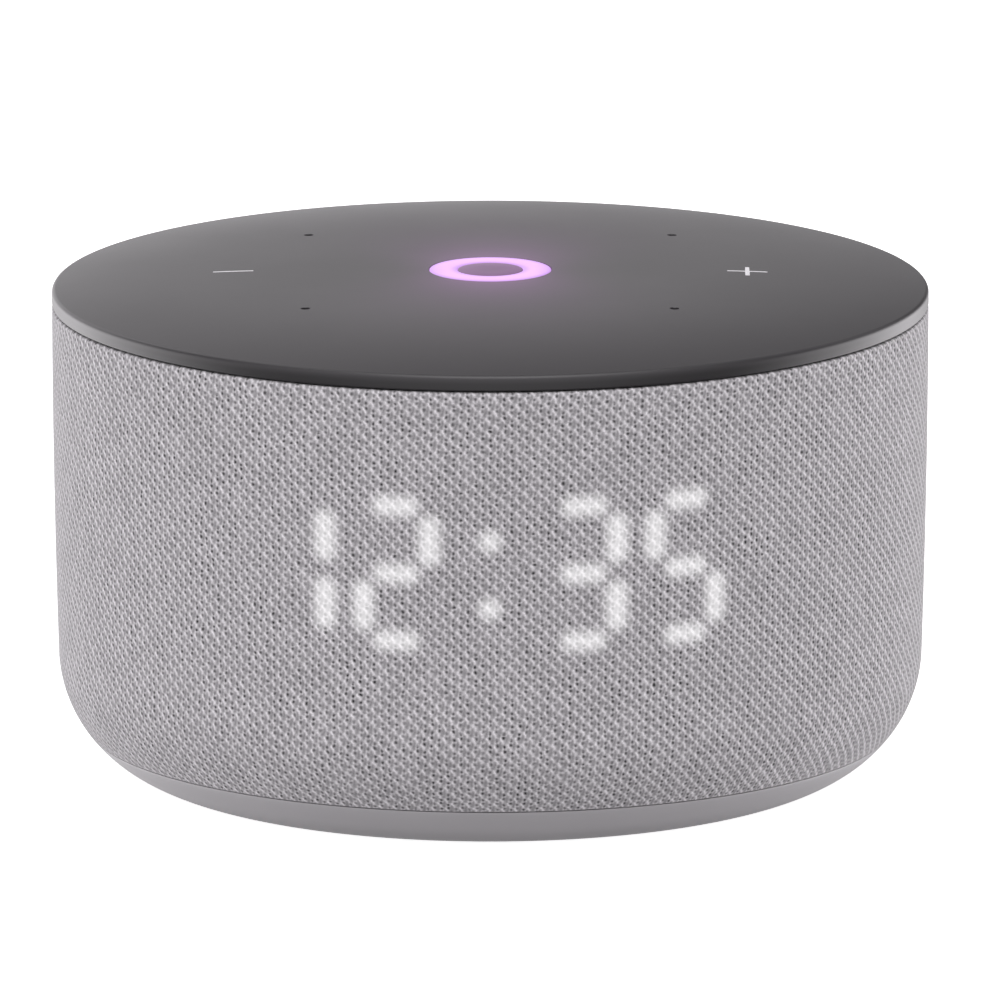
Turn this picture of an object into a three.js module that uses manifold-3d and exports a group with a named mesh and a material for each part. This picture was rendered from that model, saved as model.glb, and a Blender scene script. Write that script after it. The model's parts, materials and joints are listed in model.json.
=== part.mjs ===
// Smart speaker with a clock display: a round, free-standing body with a domed touch top,
// a fabric side and a downward driver. Millimetres, +Z up, the front (clock) faces -Y,
// and the origin is on the floor at the middle of the foot ring.

import * as THREE from "three";
import { mergeVertices } from "three/addons/utils/BufferGeometryUtils.js";
import Module from "manifold-3d";

const wasm = await Module();
wasm.setup();

// ---------------------------------------------------------------- driving dimensions

// Outer form
const BODY_R = 51.0;            // radius at the top cover's edge
const RIM_Z = 58.5;             // height of the top cover's edge
const DOME_H = 2.1;             // rise of the touch top from its edge to its middle
const DOME_POWER = 4;           // the dome is flat in the middle and falls off near the edge
const SIDE_DRAFT = 0.64;        // how much the side pulls in above the big round
const ROUND_R = 15.2;           // the big round between the side and the underside
const ROUND_START = THREE.MathUtils.degToRad(2.1);
const UNDERSIDE_Z = 0.8;        // underside of the base, above the floor
const SEAM_Z = 6.65;            // where the fabric meets the base
const BAND_H = 1.75;            // height of the top cover's visible band
const GAP = 0.3;                // clearance between neighbouring pieces
const SLIP = 0.12;              // clearance of inlaid and pressed pieces

// Walls
const COVER_WALL = 1.8;
const FABRIC_WALL = 0.8;
const GRILLE_OUT = 1.1;         // grille shell's outer face, measured in from the outer form
const GRILLE_IN = 2.9;          // and its inner face
const BASE_WALL = 2.0;

// Touch top
const RING_OUT_R = 7.08;
const RING_IN_R = 3.84;
const MARK_X = 29.9;            // minus and plus marks, left and right of the middle
const MARK_LENGTH = 4.7;
const MARK_WIDTH = 0.5;
const INLAY_FLOOR_Z = 59.4;     // floor of the marks' slots
const MIC_XY = 21.3;            // the microphones sit on a square
const MIC_HOLE_R = 0.55;
const LENS_DEPTH = 2.5;         // of the ring lens, below the top's middle
const TOUCH_BOARD_Z = 54.5;
const TOUCH_BOARD_R = 45.6;
const TOUCH_BOARD_T = 1.0;

// Clock, laid out on the curved front
const CLOCK_Z = 35.2;           // height of the digits' middle
const DIGIT_ANGLES = [-26.2, -12.25, 12.25, 26.2].map(THREE.MathUtils.degToRad);
const COLUMN_ANGLE = THREE.MathUtils.degToRad(4.36);
const ROW_PITCH = 7.9;          // between a digit's horizontal segments
const SEGMENT_W = 2.1;
const SEGMENT_H_LENGTH = 6.1;
const SEGMENT_V_LENGTH = 6.6;
const COLON_DZ = 3.95;
const COLON_R = 1.15;
const DISPLAY_HALF_ANGLE = THREE.MathUtils.degToRad(34);
const DISPLAY_H = 21.6;
const DIFFUSER_R = [48.0, 49.3];
const LIGHT_BOX_R = [43.4, 47.3];
const LED_BOARD_R = [42.3, 43.1];

// Rear ports
const PORT_Z = 27.0;
const PORT_W = 30.0;
const PORT_H = 9.0;
const USB_X = -9.0;
const JACK_X = 10.0;
const SWITCH_X = 1.0;           // middle of the mute slider's slot
const SWITCH_TRAVEL = 2.0;
const KNOB_W = 4.0;
const KNOB_H = 2.4;
const KNOB_OUT_Y = 50.8;
const PORT_MOUTH_Y = 48.9;      // outer end of the USB-C inlet and the audio jack
const PORT_BACK_Y = 40.5;       // and their inner end
const BEZEL_DEPTH = 4.4;
const USB_SLOT = [9.6, 3.9];
const JACK_HOLE_R = 3.3;
const PORT_BOARD_Y = 39.0;
const PORT_BOARD_T = 1.2;

// Inside stack
const BAFFLE_Z = 14.3;
const BAFFLE_T = 2.5;
const ENCLOSURE_R = 37.5;
const ENCLOSURE_TOP_Z = 40.3;
const MAIN_BOARD_Z = 42.0;
const MAIN_BOARD_R = 39.0;
const MAIN_BOARD_T = 1.6;
const SHIELD_XY = [-4, -2];
const DRIVER_Z = 12.0;          // front face of the driver's flange; it fires down

// Base, foot ring and sound slots
const FOOT_R = [25.5, 31.0];
const FOOT_DEPTH = 0.8;         // how far the foot ring's groove goes into the base
const SLOT_COUNT = 18;
const SLOT_SIZE = [20, 3.4, 4.6];
const SLOT_Z = 10.6;

// Fasteners
const BASE_SCREW_R = 28.25;     // pitch radius, under the foot ring
const BASE_SCREW_ANGLES = [30, 150, 270].map(THREE.MathUtils.degToRad);
const DRIVER_SCREW_R = 23.4;
const DRIVER_SCREW_ANGLES = [90, 210, 330].map(THREE.MathUtils.degToRad);
const DRIVER_HOLE_R = 0.95;
const BOARD_POST_R = 30;

// Facets round the axis
const OUTER_FACETS = 48;
const INNER_FACETS = 28;
const DRIVER_FACETS = 24;
const SMALL_FACETS = 10;

// ---------------------------------------------------------------- materials

const finish = (color, roughness, metalness = 0) => ({ color, roughness, metalness });

const DARK_SATIN = finish(0x555357, 0.42);
const RING_GLOW = finish(0xf6c4ff, 0.35);
const MARK_WHITE = finish(0xd9d9d9, 0.4);
const KNIT_GREY = finish(0xb4b2b6, 0.95);
const BASE_GREY = finish(0x8f8e92, 0.5);
const SHELL_GREY = finish(0x77767a, 0.6);
const DIFFUSER_WHITE = finish(0xf2f2f0, 0.5);
const LIGHT_BOX_WHITE = finish(0xe8e8e6, 0.6);
const BLACK_PLASTIC = finish(0x1c1c1e, 0.6);
const BLACK_RUBBER = finish(0x161617, 0.9);
const BOARD_GREEN = finish(0x14492f, 0.45);
const TINNED_STEEL = finish(0xbfc2c5, 0.35, 0.9);
const ZINC_STEEL = finish(0xa9adb2, 0.3, 1.0);
const ALUMINIUM = finish(0xc4c7ca, 0.4, 1.0);
const FERRITE = finish(0x3b3b3d, 0.7, 0.3);
const COPPER = finish(0xb87333, 0.35, 0.9);
const PAPER_BLACK = finish(0x26262a, 0.85);
const SPIDER_AMBER = finish(0xb98a4a, 0.9);
const THERMAL_GREY = finish(0x8fa3b5, 0.8);
const FLEX_AMBER = finish(0xc07a2b, 0.4);

// ---------------------------------------------------------------- solids

// A closed three.js geometry as a manifold solid, with its faces turned outward.
function solid(geometry) {
  const bare = geometry.index ? geometry : geometry.clone();
  bare.deleteAttribute("normal");
  bare.deleteAttribute("uv");
  const merged = mergeVertices(bare, 1e-5);
  const position = merged.attributes.position;
  const corner = [new THREE.Vector3(), new THREE.Vector3(), new THREE.Vector3()];
  const triangles = [];
  let volume = 0;
  for (let i = 0; i < merged.index.count; i += 3) {
    const ids = [0, 1, 2].map((k) => merged.index.getX(i + k));
    if (new Set(ids).size === 3) {
      ids.forEach((id, k) => corner[k].fromBufferAttribute(position, id));
      volume += corner[0].dot(corner[1].clone().cross(corner[2]));
      triangles.push(ids);
    }
  }
  const ordered = volume < 0 ? triangles.map(([a, b, c]) => [a, c, b]) : triangles;
  return new wasm.Manifold(new wasm.Mesh({
    numProp: 3,
    vertProperties: new Float32Array(position.array),
    triVerts: new Uint32Array(ordered.flat()),
  }));
}

const union = (first, ...others) => others.reduce((sum, other) => sum.add(other), first);
const cut = (first, ...others) => others.reduce((rest, other) => rest.subtract(other), first);

// A profile of [radius, height] points turned round the Z axis.
function turned(profile, facets = INNER_FACETS) {
  const points = profile.map(([r, z]) => new THREE.Vector2(r, z));
  const geometry = new THREE.LatheGeometry(points, facets);
  geometry.rotateX(Math.PI / 2);
  return solid(geometry);
}

// A turned profile that closes on itself.
const turnedLoop = (profile, facets) => turned([...profile, profile[0]], facets);

const ring = (rIn, rOut, z0, z1, facets) =>
  turnedLoop([[rIn, z0], [rOut, z0], [rOut, z1], [rIn, z1]], facets);

const disc = (radius, z0, z1, facets) => turned([[0, z0], [radius, z0], [radius, z1], [0, z1]], facets);

// A screw standing on its head.
function screwBody(headR, headH, shankR, shankLength) {
  const end = headH + shankLength;
  return turned([
    [0, 0], [headR, 0], [headR, headH], [shankR, headH], [shankR, end], [0, end],
  ], SMALL_FACETS);
}

function rod(radius, z0, z1, x = 0, y = 0, facets = SMALL_FACETS) {
  const geometry = new THREE.CylinderGeometry(radius, radius, z1 - z0, facets);
  geometry.rotateX(Math.PI / 2);
  geometry.translate(x, y, (z0 + z1) / 2);
  return solid(geometry);
}

// A rod along Y, for the rear ports.
function rodY(radius, y0, y1, x, z, facets = SMALL_FACETS) {
  const geometry = new THREE.CylinderGeometry(radius, radius, y1 - y0, facets);
  geometry.translate(x, (y0 + y1) / 2, z);
  return solid(geometry);
}

// A box by its size and the middle of each side.
function block(w, d, h, x = 0, y = 0, z = 0) {
  const geometry = new THREE.BoxGeometry(w, d, h);
  geometry.translate(x, y, z);
  return solid(geometry);
}

// A flat outline in X and Z, extruded from y0 to y1.
function extrudedY(shape, y0, y1, curveSegments = 6) {
  const geometry = new THREE.ExtrudeGeometry(shape, { depth: y1 - y0, bevelEnabled: false, curveSegments });
  geometry.rotateX(Math.PI / 2);
  geometry.translate(0, y1, 0);
  return solid(geometry);
}

// A rounded slot outline, wider than it is high.
function slotShape(width, height, x = 0, z = 0) {
  const r = height / 2;
  const half = width / 2 - r;
  const shape = new THREE.Shape();
  shape.absarc(x + half, z, r, -Math.PI / 2, Math.PI / 2);
  shape.absarc(x - half, z, r, Math.PI / 2, (3 * Math.PI) / 2);
  shape.closePath();
  return shape;
}

// ---------------------------------------------------------------- the outer form

const sideDrop = RIM_Z - UNDERSIDE_Z - ROUND_R;
const roundCentreZ = UNDERSIDE_Z + ROUND_R;
const roundCentreR = BODY_R - SIDE_DRAFT - ROUND_R;
const roundTopZ = roundCentreZ - ROUND_R * Math.sin(ROUND_START);

const sideRadius = (z) => BODY_R - SIDE_DRAFT * ((RIM_Z - z) / sideDrop) ** 2;
const domeZ = (r) => RIM_Z + DOME_H * (1 - (r / BODY_R) ** DOME_POWER);

// The outer form between two heights, moved inward, as a profile from top to bottom.
function wallLine(inward, zTop, zBottom, sideSteps = 2, roundSteps = 5) {
  const line = [];
  const sideEnd = Math.max(roundTopZ, zBottom);
  for (let i = 0; i <= sideSteps; i += 1) {
    const z = THREE.MathUtils.lerp(zTop, sideEnd, i / sideSteps);
    line.push([sideRadius(z) - inward, z]);
  }
  if (zBottom < roundTopZ) {
    const r = ROUND_R - inward;
    const last = Math.asin((roundCentreZ - zBottom) / r);
    for (let i = 1; i <= roundSteps; i += 1) {
      const angle = THREE.MathUtils.lerp(ROUND_START, last, i / roundSteps);
      line.push([roundCentreR + r * Math.cos(angle), roundCentreZ - r * Math.sin(angle)]);
    }
  }
  return line;
}

// A wall that follows the outer form between two inward distances.
function wall(outer, inner, zTop, zBottom, sideSteps, roundSteps) {
  const outside = wallLine(outer, zTop, zBottom, sideSteps, roundSteps);
  const inside = wallLine(inner, zTop, zBottom, sideSteps, roundSteps);
  return turnedLoop([...outside, ...inside.reverse()], OUTER_FACETS);
}

// A curved panel round the front, centred on -Y.
function curvedPanel(rIn, rOut, halfAngle, z0, z1, facets = 12) {
  const shape = new THREE.Shape();
  shape.absarc(0, 0, rOut, -Math.PI / 2 - halfAngle, -Math.PI / 2 + halfAngle);
  shape.absarc(0, 0, rIn, -Math.PI / 2 + halfAngle, -Math.PI / 2 - halfAngle, true);
  shape.closePath();
  const options = { depth: z1 - z0, bevelEnabled: false, curveSegments: facets };
  const geometry = new THREE.ExtrudeGeometry(shape, options);
  geometry.translate(0, 0, z0);
  return solid(geometry);
}

const displayWindow = (rIn, rOut, margin) => curvedPanel(
  rIn, rOut, DISPLAY_HALF_ANGLE + margin / BODY_R,
  CLOCK_Z - DISPLAY_H / 2 - margin, CLOCK_Z + DISPLAY_H / 2 + margin,
);

const portWindow = (margin) => block(
  PORT_W + 2 * margin, 20, PORT_H + 2 * margin, 0, BODY_R - 5, PORT_Z,
);

// ---------------------------------------------------------------- scene helpers

const speaker = new THREE.Group();

function group(parent = speaker, z = 0) {
  const made = new THREE.Group();
  made.position.z = z;
  parent.add(made);
  return made;
}

function addPart(parent, name, body, look, position = [0, 0, 0], turn = 0) {
  const mesh = body.getMesh();
  const geometry = new THREE.BufferGeometry();
  geometry.setAttribute("position", new THREE.BufferAttribute(new Float32Array(mesh.vertProperties), 3));
  geometry.setIndex(new THREE.BufferAttribute(new Uint32Array(mesh.triVerts), 1));
  geometry.computeVertexNormals();
  const part = new THREE.Mesh(geometry, new THREE.MeshStandardMaterial(look));
  part.name = name;
  part.position.set(...position);
  part.rotation.z = turn;
  parent.add(part);
}

const onCircle = (radius, angle) => [radius * Math.cos(angle), radius * Math.sin(angle)];
const micPlaces = [[-1, -1], [1, -1], [-1, 1], [1, 1]].map(([x, y]) => [x * MIC_XY, y * MIC_XY]);

// ---------------------------------------------------------------- touch top

const markBar = (length, width, x, y, z0, z1) => block(length, width, z1 - z0, x, y, (z0 + z1) / 2);

function minusMark(margin, z0, z1) {
  return markBar(MARK_LENGTH + 2 * margin, MARK_WIDTH + 2 * margin, -MARK_X, 0, z0, z1);
}

function plusMark(margin, z0, z1) {
  const length = MARK_LENGTH + 2 * margin;
  const width = MARK_WIDTH + 2 * margin;
  return union(markBar(length, width, MARK_X, 0, z0, z1), markBar(width, length, MARK_X, 0, z0, z1));
}

function topCover() {
  const edgeR = 0.4;
  const edgeMiddle = edgeR * 0.3;
  const lipT = 1.4;
  const lipOut = sideRadius(RIM_Z) - GRILLE_IN - GAP;
  const lipIn = lipOut - lipT;
  const lipZ = RIM_Z - 4.7;
  const bandZ = RIM_Z - BAND_H;
  const holeR = RING_OUT_R + SLIP;
  const domeRadii = [holeR, 20, 32, 41, 47, BODY_R - edgeR];
  const ceilingRadii = [lipIn, 36, holeR];
  const body = turnedLoop([
    ...domeRadii.map((r) => [r, domeZ(r)]),
    [BODY_R - edgeMiddle, RIM_Z - edgeMiddle],
    [BODY_R, RIM_Z - edgeR],
    [BODY_R, bandZ],
    [lipOut, bandZ],
    [lipOut, lipZ],
    [lipIn, lipZ],
    ...ceilingRadii.map((r) => [r, domeZ(r) - COVER_WALL]),
  ], OUTER_FACETS);
  const above = RIM_Z + 4;
  const micHoles = micPlaces.map(([x, y]) => rod(MIC_HOLE_R, RIM_Z - 2, above, x, y, 8));
  return cut(
    body, ...micHoles,
    minusMark(SLIP, INLAY_FLOOR_Z, above), plusMark(SLIP, INLAY_FLOOR_Z, above),
  );
}

function buildTouchTop() {
  const top = group();
  const topZ = RIM_Z + DOME_H;
  const markTop = domeZ(MARK_X) - 0.02;
  const markFloor = INLAY_FLOOR_Z + 0.1;
  const lensFloorZ = topZ - LENS_DEPTH;
  const lensWebZ = lensFloorZ + 0.5;
  const discFloorZ = lensWebZ + 0.1;
  addPart(top, "top_cover", topCover(), DARK_SATIN);
  addPart(top, "ring_lens", turned([
    [0, lensFloorZ], [RING_OUT_R, lensFloorZ], [RING_OUT_R, topZ],
    [RING_IN_R, topZ], [RING_IN_R, lensWebZ], [0, lensWebZ],
  ], 32), RING_GLOW);
  addPart(top, "ring_centre_disc", disc(RING_IN_R - SLIP, discFloorZ, topZ, 24), DARK_SATIN);
  addPart(top, "volume_down_mark", minusMark(0, markFloor, markTop), MARK_WHITE);
  addPart(top, "volume_up_mark", plusMark(0, markFloor, markTop), MARK_WHITE);

  const boardTop = TOUCH_BOARD_Z + TOUCH_BOARD_T;
  const guideZ = [boardTop + 1.0, lensFloorZ - 0.2];
  addPart(top, "touch_board", disc(TOUCH_BOARD_R, TOUCH_BOARD_Z, boardTop, OUTER_FACETS), BOARD_GREEN);
  addPart(top, "ring_light_guide", ring(4.0, 7.0, ...guideZ, 24), DIFFUSER_WHITE);

  const led = block(2.0, 1.4, 0.5);
  const mic = block(3.4, 2.6, 1.0);
  const gasket = ring(0.8, 2.0, 0, 1.6, SMALL_FACETS);
  const ledRingR = 5.5;
  const ledZ = boardTop + 0.55;
  const micZ = boardTop + 0.6;
  const gasketZ = boardTop + 1.2;
  micPlaces.forEach(([x, y], i) => {
    const turn = Math.PI / 4 + (i * Math.PI) / 2;
    addPart(top, `ring_led_${i + 1}`, led, DIFFUSER_WHITE, [...onCircle(ledRingR, turn), ledZ], turn);
    addPart(top, `microphone_${i + 1}`, mic, TINNED_STEEL, [x, y, micZ]);
    addPart(top, `mic_gasket_${i + 1}`, gasket, BLACK_RUBBER, [x, y, gasketZ]);
  });
}

// ---------------------------------------------------------------- fabric side and shells

// Sound slots all round the grille shell, level with the driver's outlet.
function soundSlots() {
  const slot = new THREE.BoxGeometry(...SLOT_SIZE);
  slot.translate(BODY_R - 4, 0, SLOT_Z);
  return Array.from({ length: SLOT_COUNT }, (_, i) => {
    const turn = ((i + 0.5) * 2 * Math.PI) / SLOT_COUNT;
    return solid(slot.clone().rotateZ(turn));
  });
}

// The big round's section, from one angle below the horizontal to another.
function roundLine(inward, from, to, steps) {
  const r = ROUND_R - inward;
  return Array.from({ length: steps + 1 }, (_, i) => {
    const angle = THREE.MathUtils.lerp(from, to, i / steps);
    return [roundCentreR + r * Math.cos(angle), roundCentreZ - r * Math.sin(angle)];
  });
}

function baseCover() {
  const steps = 3;
  const rimDrop = roundCentreZ - (SEAM_Z - 0.2);
  const rimOut = Math.asin(rimDrop / ROUND_R);
  const rimIn = Math.asin(rimDrop / (ROUND_R - BASE_WALL));
  const floorZ = UNDERSIDE_Z + BASE_WALL;
  const grooveZ = UNDERSIDE_Z + FOOT_DEPTH;
  const grooveIn = FOOT_R[0] - 0.2;
  const grooveOut = FOOT_R[1] + 0.2;
  const body = turned([
    [0, UNDERSIDE_Z], [grooveIn, UNDERSIDE_Z], [grooveIn, grooveZ],
    [grooveOut, grooveZ], [grooveOut, UNDERSIDE_Z],
    ...roundLine(0, Math.PI / 2, rimOut, steps),
    ...roundLine(BASE_WALL, rimIn, Math.PI / 2, steps),
    [0, floorZ],
  ], OUTER_FACETS);
  const bossTopZ = 6.0;
  const seatZ = 3.4;
  const places = BASE_SCREW_ANGLES.map((angle) => onCircle(BASE_SCREW_R, angle));
  const bosses = places.map(([x, y]) => rod(3.8, floorZ - 0.4, bossTopZ, x, y, 16));
  const holes = places.map(([x, y]) => rod(1.5, 0, bossTopZ + 1, x, y));
  const counterbores = places.map(([x, y]) => rod(2.9, 0, seatZ, x, y, 16));
  return cut(union(body, ...bosses), ...holes, ...counterbores);
}

function buildShells() {
  const shells = group();
  const topZ = RIM_Z - BAND_H - GAP;
  const fabric = wall(0, FABRIC_WALL, topZ, SEAM_Z + 0.1, 2, 5);
  addPart(shells, "fabric_sleeve", cut(fabric, portWindow(GAP)), KNIT_GREY);

  const grille = wall(GRILLE_OUT, GRILLE_IN, topZ, SEAM_Z, 2, 4);
  const window = displayWindow(BODY_R - 6, BODY_R + 2, GAP);
  addPart(shells, "grille_shell", cut(grille, window, portWindow(GAP), ...soundSlots()), SHELL_GREY);

  addPart(shells, "base_cover", baseCover(), BASE_GREY);
  const footTopZ = UNDERSIDE_Z + FOOT_DEPTH - 0.1;
  addPart(shells, "foot_ring", ring(...FOOT_R, 0, footTopZ, OUTER_FACETS), BLACK_RUBBER);

  const screw = screwBody(2.5, 1.5, 1.05, 8);
  const screwZ = 1.8;
  BASE_SCREW_ANGLES.forEach((angle, i) => {
    const place = [...onCircle(BASE_SCREW_R, angle), screwZ];
    addPart(shells, `base_screw_${i + 1}`, screw, ZINC_STEEL, place);
  });
}

// ---------------------------------------------------------------- clock display

// One segment's well, cut through the light box along the radius at its own angle.
function well(length, height, angle, z, rIn, rOut) {
  const w = length / 2;
  const h = height / 2;
  const tip = Math.min(w, h);
  const shape = new THREE.Shape();
  if (w > h) {
    shape.moveTo(-w, 0);
    shape.lineTo(-w + tip, -tip);
    shape.lineTo(w - tip, -tip);
    shape.lineTo(w, 0);
    shape.lineTo(w - tip, tip);
    shape.lineTo(-w + tip, tip);
  } else {
    shape.moveTo(0, -h);
    shape.lineTo(tip, -h + tip);
    shape.lineTo(tip, h - tip);
    shape.lineTo(0, h);
    shape.lineTo(-tip, h - tip);
    shape.lineTo(-tip, -h + tip);
  }
  shape.closePath();
  const geometry = new THREE.ExtrudeGeometry(shape, { depth: rOut - rIn, bevelEnabled: false });
  geometry.rotateX(Math.PI / 2);
  geometry.translate(0, -rIn, z);
  geometry.rotateZ(angle);
  return solid(geometry);
}

function segmentWells(rIn, rOut) {
  const wells = [];
  for (const digit of DIGIT_ANGLES) {
    for (const row of [-1, 0, 1]) {
      wells.push(well(SEGMENT_H_LENGTH, SEGMENT_W, digit, CLOCK_Z + row * ROW_PITCH, rIn, rOut));
    }
    for (const side of [-1, 1]) {
      for (const half of [-0.5, 0.5]) {
        const angle = digit + side * COLUMN_ANGLE;
        wells.push(well(SEGMENT_W, SEGMENT_V_LENGTH, angle, CLOCK_Z + half * ROW_PITCH, rIn, rOut));
      }
    }
  }
  for (const side of [-1, 1]) {
    wells.push(rodY(COLON_R, -rOut, -rIn, 0, CLOCK_Z + side * COLON_DZ, 8));
  }
  return wells;
}

function buildDisplay() {
  const display = group();
  const z0 = CLOCK_Z - DISPLAY_H / 2;
  const z1 = CLOCK_Z + DISPLAY_H / 2;
  const wells = segmentWells(LIGHT_BOX_R[0] - 1.4, LIGHT_BOX_R[1] + 1.7);
  const box = curvedPanel(...LIGHT_BOX_R, DISPLAY_HALF_ANGLE, z0, z1);
  const board = curvedPanel(...LED_BOARD_R, DISPLAY_HALF_ANGLE, z0, z1);
  addPart(display, "display_diffuser", displayWindow(...DIFFUSER_R, 0), DIFFUSER_WHITE);
  addPart(display, "display_light_box", cut(box, ...wells), LIGHT_BOX_WHITE);
  addPart(display, "display_board", board, BOARD_GREEN);
}

// ---------------------------------------------------------------- rear ports

function portBezel() {
  const zTop = PORT_Z + PORT_H;
  const zBottom = PORT_Z - PORT_H;
  const [inside, outside] = [PORT_BACK_Y, BODY_R + 5];
  const flangeMargin = 2.0;
  const face = wall(0, BEZEL_DEPTH, zTop, zBottom, 1).intersect(portWindow(0));
  const flange = wall(GRILLE_IN + GAP, BEZEL_DEPTH, zTop, zBottom, 1).intersect(portWindow(flangeMargin));
  const slotW = KNOB_W + SWITCH_TRAVEL + 2 * GAP;
  const slotH = KNOB_H + 2 * GAP;
  return cut(
    union(face, flange),
    extrudedY(slotShape(...USB_SLOT, USB_X, PORT_Z), inside, outside),
    rodY(JACK_HOLE_R, inside, outside, JACK_X, PORT_Z, 16),
    block(slotW, outside - inside, slotH, SWITCH_X, (inside + outside) / 2, PORT_Z),
  );
}

// Metal shell with a closed back and a contact tongue.
function usbInlet() {
  const shellT = 0.3;
  const backT = 1.2;
  const tongueEndY = PORT_MOUTH_Y - 0.8;
  const shell = extrudedY(slotShape(8.94, 3.26), PORT_BACK_Y, PORT_MOUTH_Y);
  const boreShape = slotShape(8.94 - 2 * shellT, 3.26 - 2 * shellT);
  const bore = extrudedY(boreShape, PORT_BACK_Y + backT, PORT_MOUTH_Y + 1);
  const tongueLength = tongueEndY - PORT_BACK_Y;
  const tongue = block(6.7, tongueLength, 0.7, 0, PORT_BACK_Y + tongueLength / 2, 0);
  return union(cut(shell, bore), tongue);
}

function audioJack() {
  const bodyDepth = 3.2;
  const plugR = 1.8;
  const backT = 1.5;
  const body = block(6.4, bodyDepth, 6.0, 0, PORT_BACK_Y + bodyDepth / 2, 0);
  const nose = rodY(2.95, PORT_BACK_Y + bodyDepth - 0.2, PORT_MOUTH_Y, 0, 0, 16);
  const bore = rodY(plugR, PORT_BACK_Y + backT, PORT_MOUTH_Y + 1, 0, 0, SMALL_FACETS);
  return cut(union(body, nose), bore);
}

// Knob, and behind the bezel a wider plate that keeps it in and the light out.
function muteSlider() {
  const knobDepth = 5.5;
  const plateY = 45.05;
  const stemY = 44.4;
  const knob = block(KNOB_W, knobDepth, KNOB_H, 0, KNOB_OUT_Y - knobDepth / 2, 0);
  const grips = [-1.1, 0, 1.1].map((x) => block(0.4, 0.6, KNOB_H + 1, x, KNOB_OUT_Y, 0));
  const plate = block(8.0, 0.7, 4.6, 0, plateY, 0);
  const stem = block(1.4, 0.8, 1.4, 0, stemY, 0);
  return union(cut(knob, ...grips), plate, stem);
}

function buildRearPorts() {
  const ports = group(speaker, PORT_Z);
  const boardFront = PORT_BOARD_Y + PORT_BOARD_T;
  const board = block(28, PORT_BOARD_T, 10.5, 0, PORT_BOARD_Y + PORT_BOARD_T / 2, 0);
  const switchDepth = 3.3;
  const switchBody = block(8.4, switchDepth, 3.6, 0, boardFront + 0.1 + switchDepth / 2, 0);
  addPart(speaker, "rear_port_bezel", portBezel(), SHELL_GREY);
  addPart(ports, "port_board", board, BOARD_GREEN);
  addPart(ports, "usb_c_inlet", usbInlet(), TINNED_STEEL, [USB_X, 0, 0]);
  addPart(ports, "audio_jack", audioJack(), BLACK_PLASTIC, [JACK_X, 0, 0]);
  addPart(ports, "mute_switch_body", switchBody, TINNED_STEEL, [SWITCH_X, 0, 0]);
  addPart(ports, "mute_slider", muteSlider(), DARK_SATIN, [SWITCH_X - SWITCH_TRAVEL / 2, 0, 0]);
}

// ---------------------------------------------------------------- electronics

// A flat cable that loops out past the boards' edges, 8 mm wide.
function flatCable() {
  const [nearY, farY, lowZ, highZ] = [30, 37.6, MAIN_BOARD_Z + 1.8, TOUCH_BOARD_Z - 0.4];
  const bend = 2.0;
  const t = 0.25;
  const outline = new THREE.Shape();
  outline.moveTo(nearY, lowZ);
  outline.absarc(farY - bend, lowZ + bend, bend, -Math.PI / 2, 0);
  outline.absarc(farY - bend, highZ - bend, bend, 0, Math.PI / 2);
  outline.lineTo(nearY, highZ);
  outline.lineTo(nearY, highZ - t);
  outline.absarc(farY - bend, highZ - bend, bend - t, Math.PI / 2, 0, true);
  outline.absarc(farY - bend, lowZ + bend, bend - t, 0, -Math.PI / 2, true);
  outline.lineTo(nearY, lowZ + t);
  outline.closePath();
  const width = 8;
  const options = { depth: width, bevelEnabled: false, curveSegments: 3 };
  const geometry = new THREE.ExtrudeGeometry(outline, options);
  geometry.rotateX(Math.PI / 2);
  geometry.rotateZ(Math.PI / 2);
  geometry.translate(-width / 2, 0, 0);
  return solid(geometry);
}

function buildElectronics() {
  const boards = group();
  const boardTop = MAIN_BOARD_Z + MAIN_BOARD_T;
  const [shieldX, shieldY] = SHIELD_XY;
  const [shieldW, shieldD, shieldH] = [26, 22, 2.6];
  const sheet = 0.3;
  const can = cut(
    block(shieldW, shieldD, shieldH, 0, 0, shieldH / 2),
    block(shieldW - 2 * sheet, shieldD - 2 * sheet, shieldH, 0, 0, shieldH / 2 - sheet),
  );
  const spreaderZ = boardTop + 3.9;
  const spreaderT = 1.5;
  const spreader = disc(33, spreaderZ, spreaderZ + spreaderT, INNER_FACETS);
  const vents = [-22, 22].map((x) => block(8, 26, 4, x, 0, spreaderZ + spreaderT / 2));
  addPart(boards, "main_board", disc(MAIN_BOARD_R, MAIN_BOARD_Z, boardTop, INNER_FACETS), BOARD_GREEN);
  addPart(boards, "processor_shield", can, TINNED_STEEL, [shieldX, shieldY, boardTop + 0.1]);
  addPart(boards, "thermal_pad", block(18, 15, 0.9), THERMAL_GREY, [shieldX, shieldY, boardTop + 3.3]);
  addPart(boards, "heat_spreader", cut(spreader, ...vents), ALUMINIUM);
  for (const [name, x] of [["antenna_left", -42], ["antenna_right", 42]]) {
    addPart(boards, name, block(0.8, 20, 8), BOARD_GREEN, [x, 4, 48.6]);
  }
  addPart(boards, "touch_flat_cable", flatCable(), FLEX_AMBER);
}

// ---------------------------------------------------------------- enclosure and baffle

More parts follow.
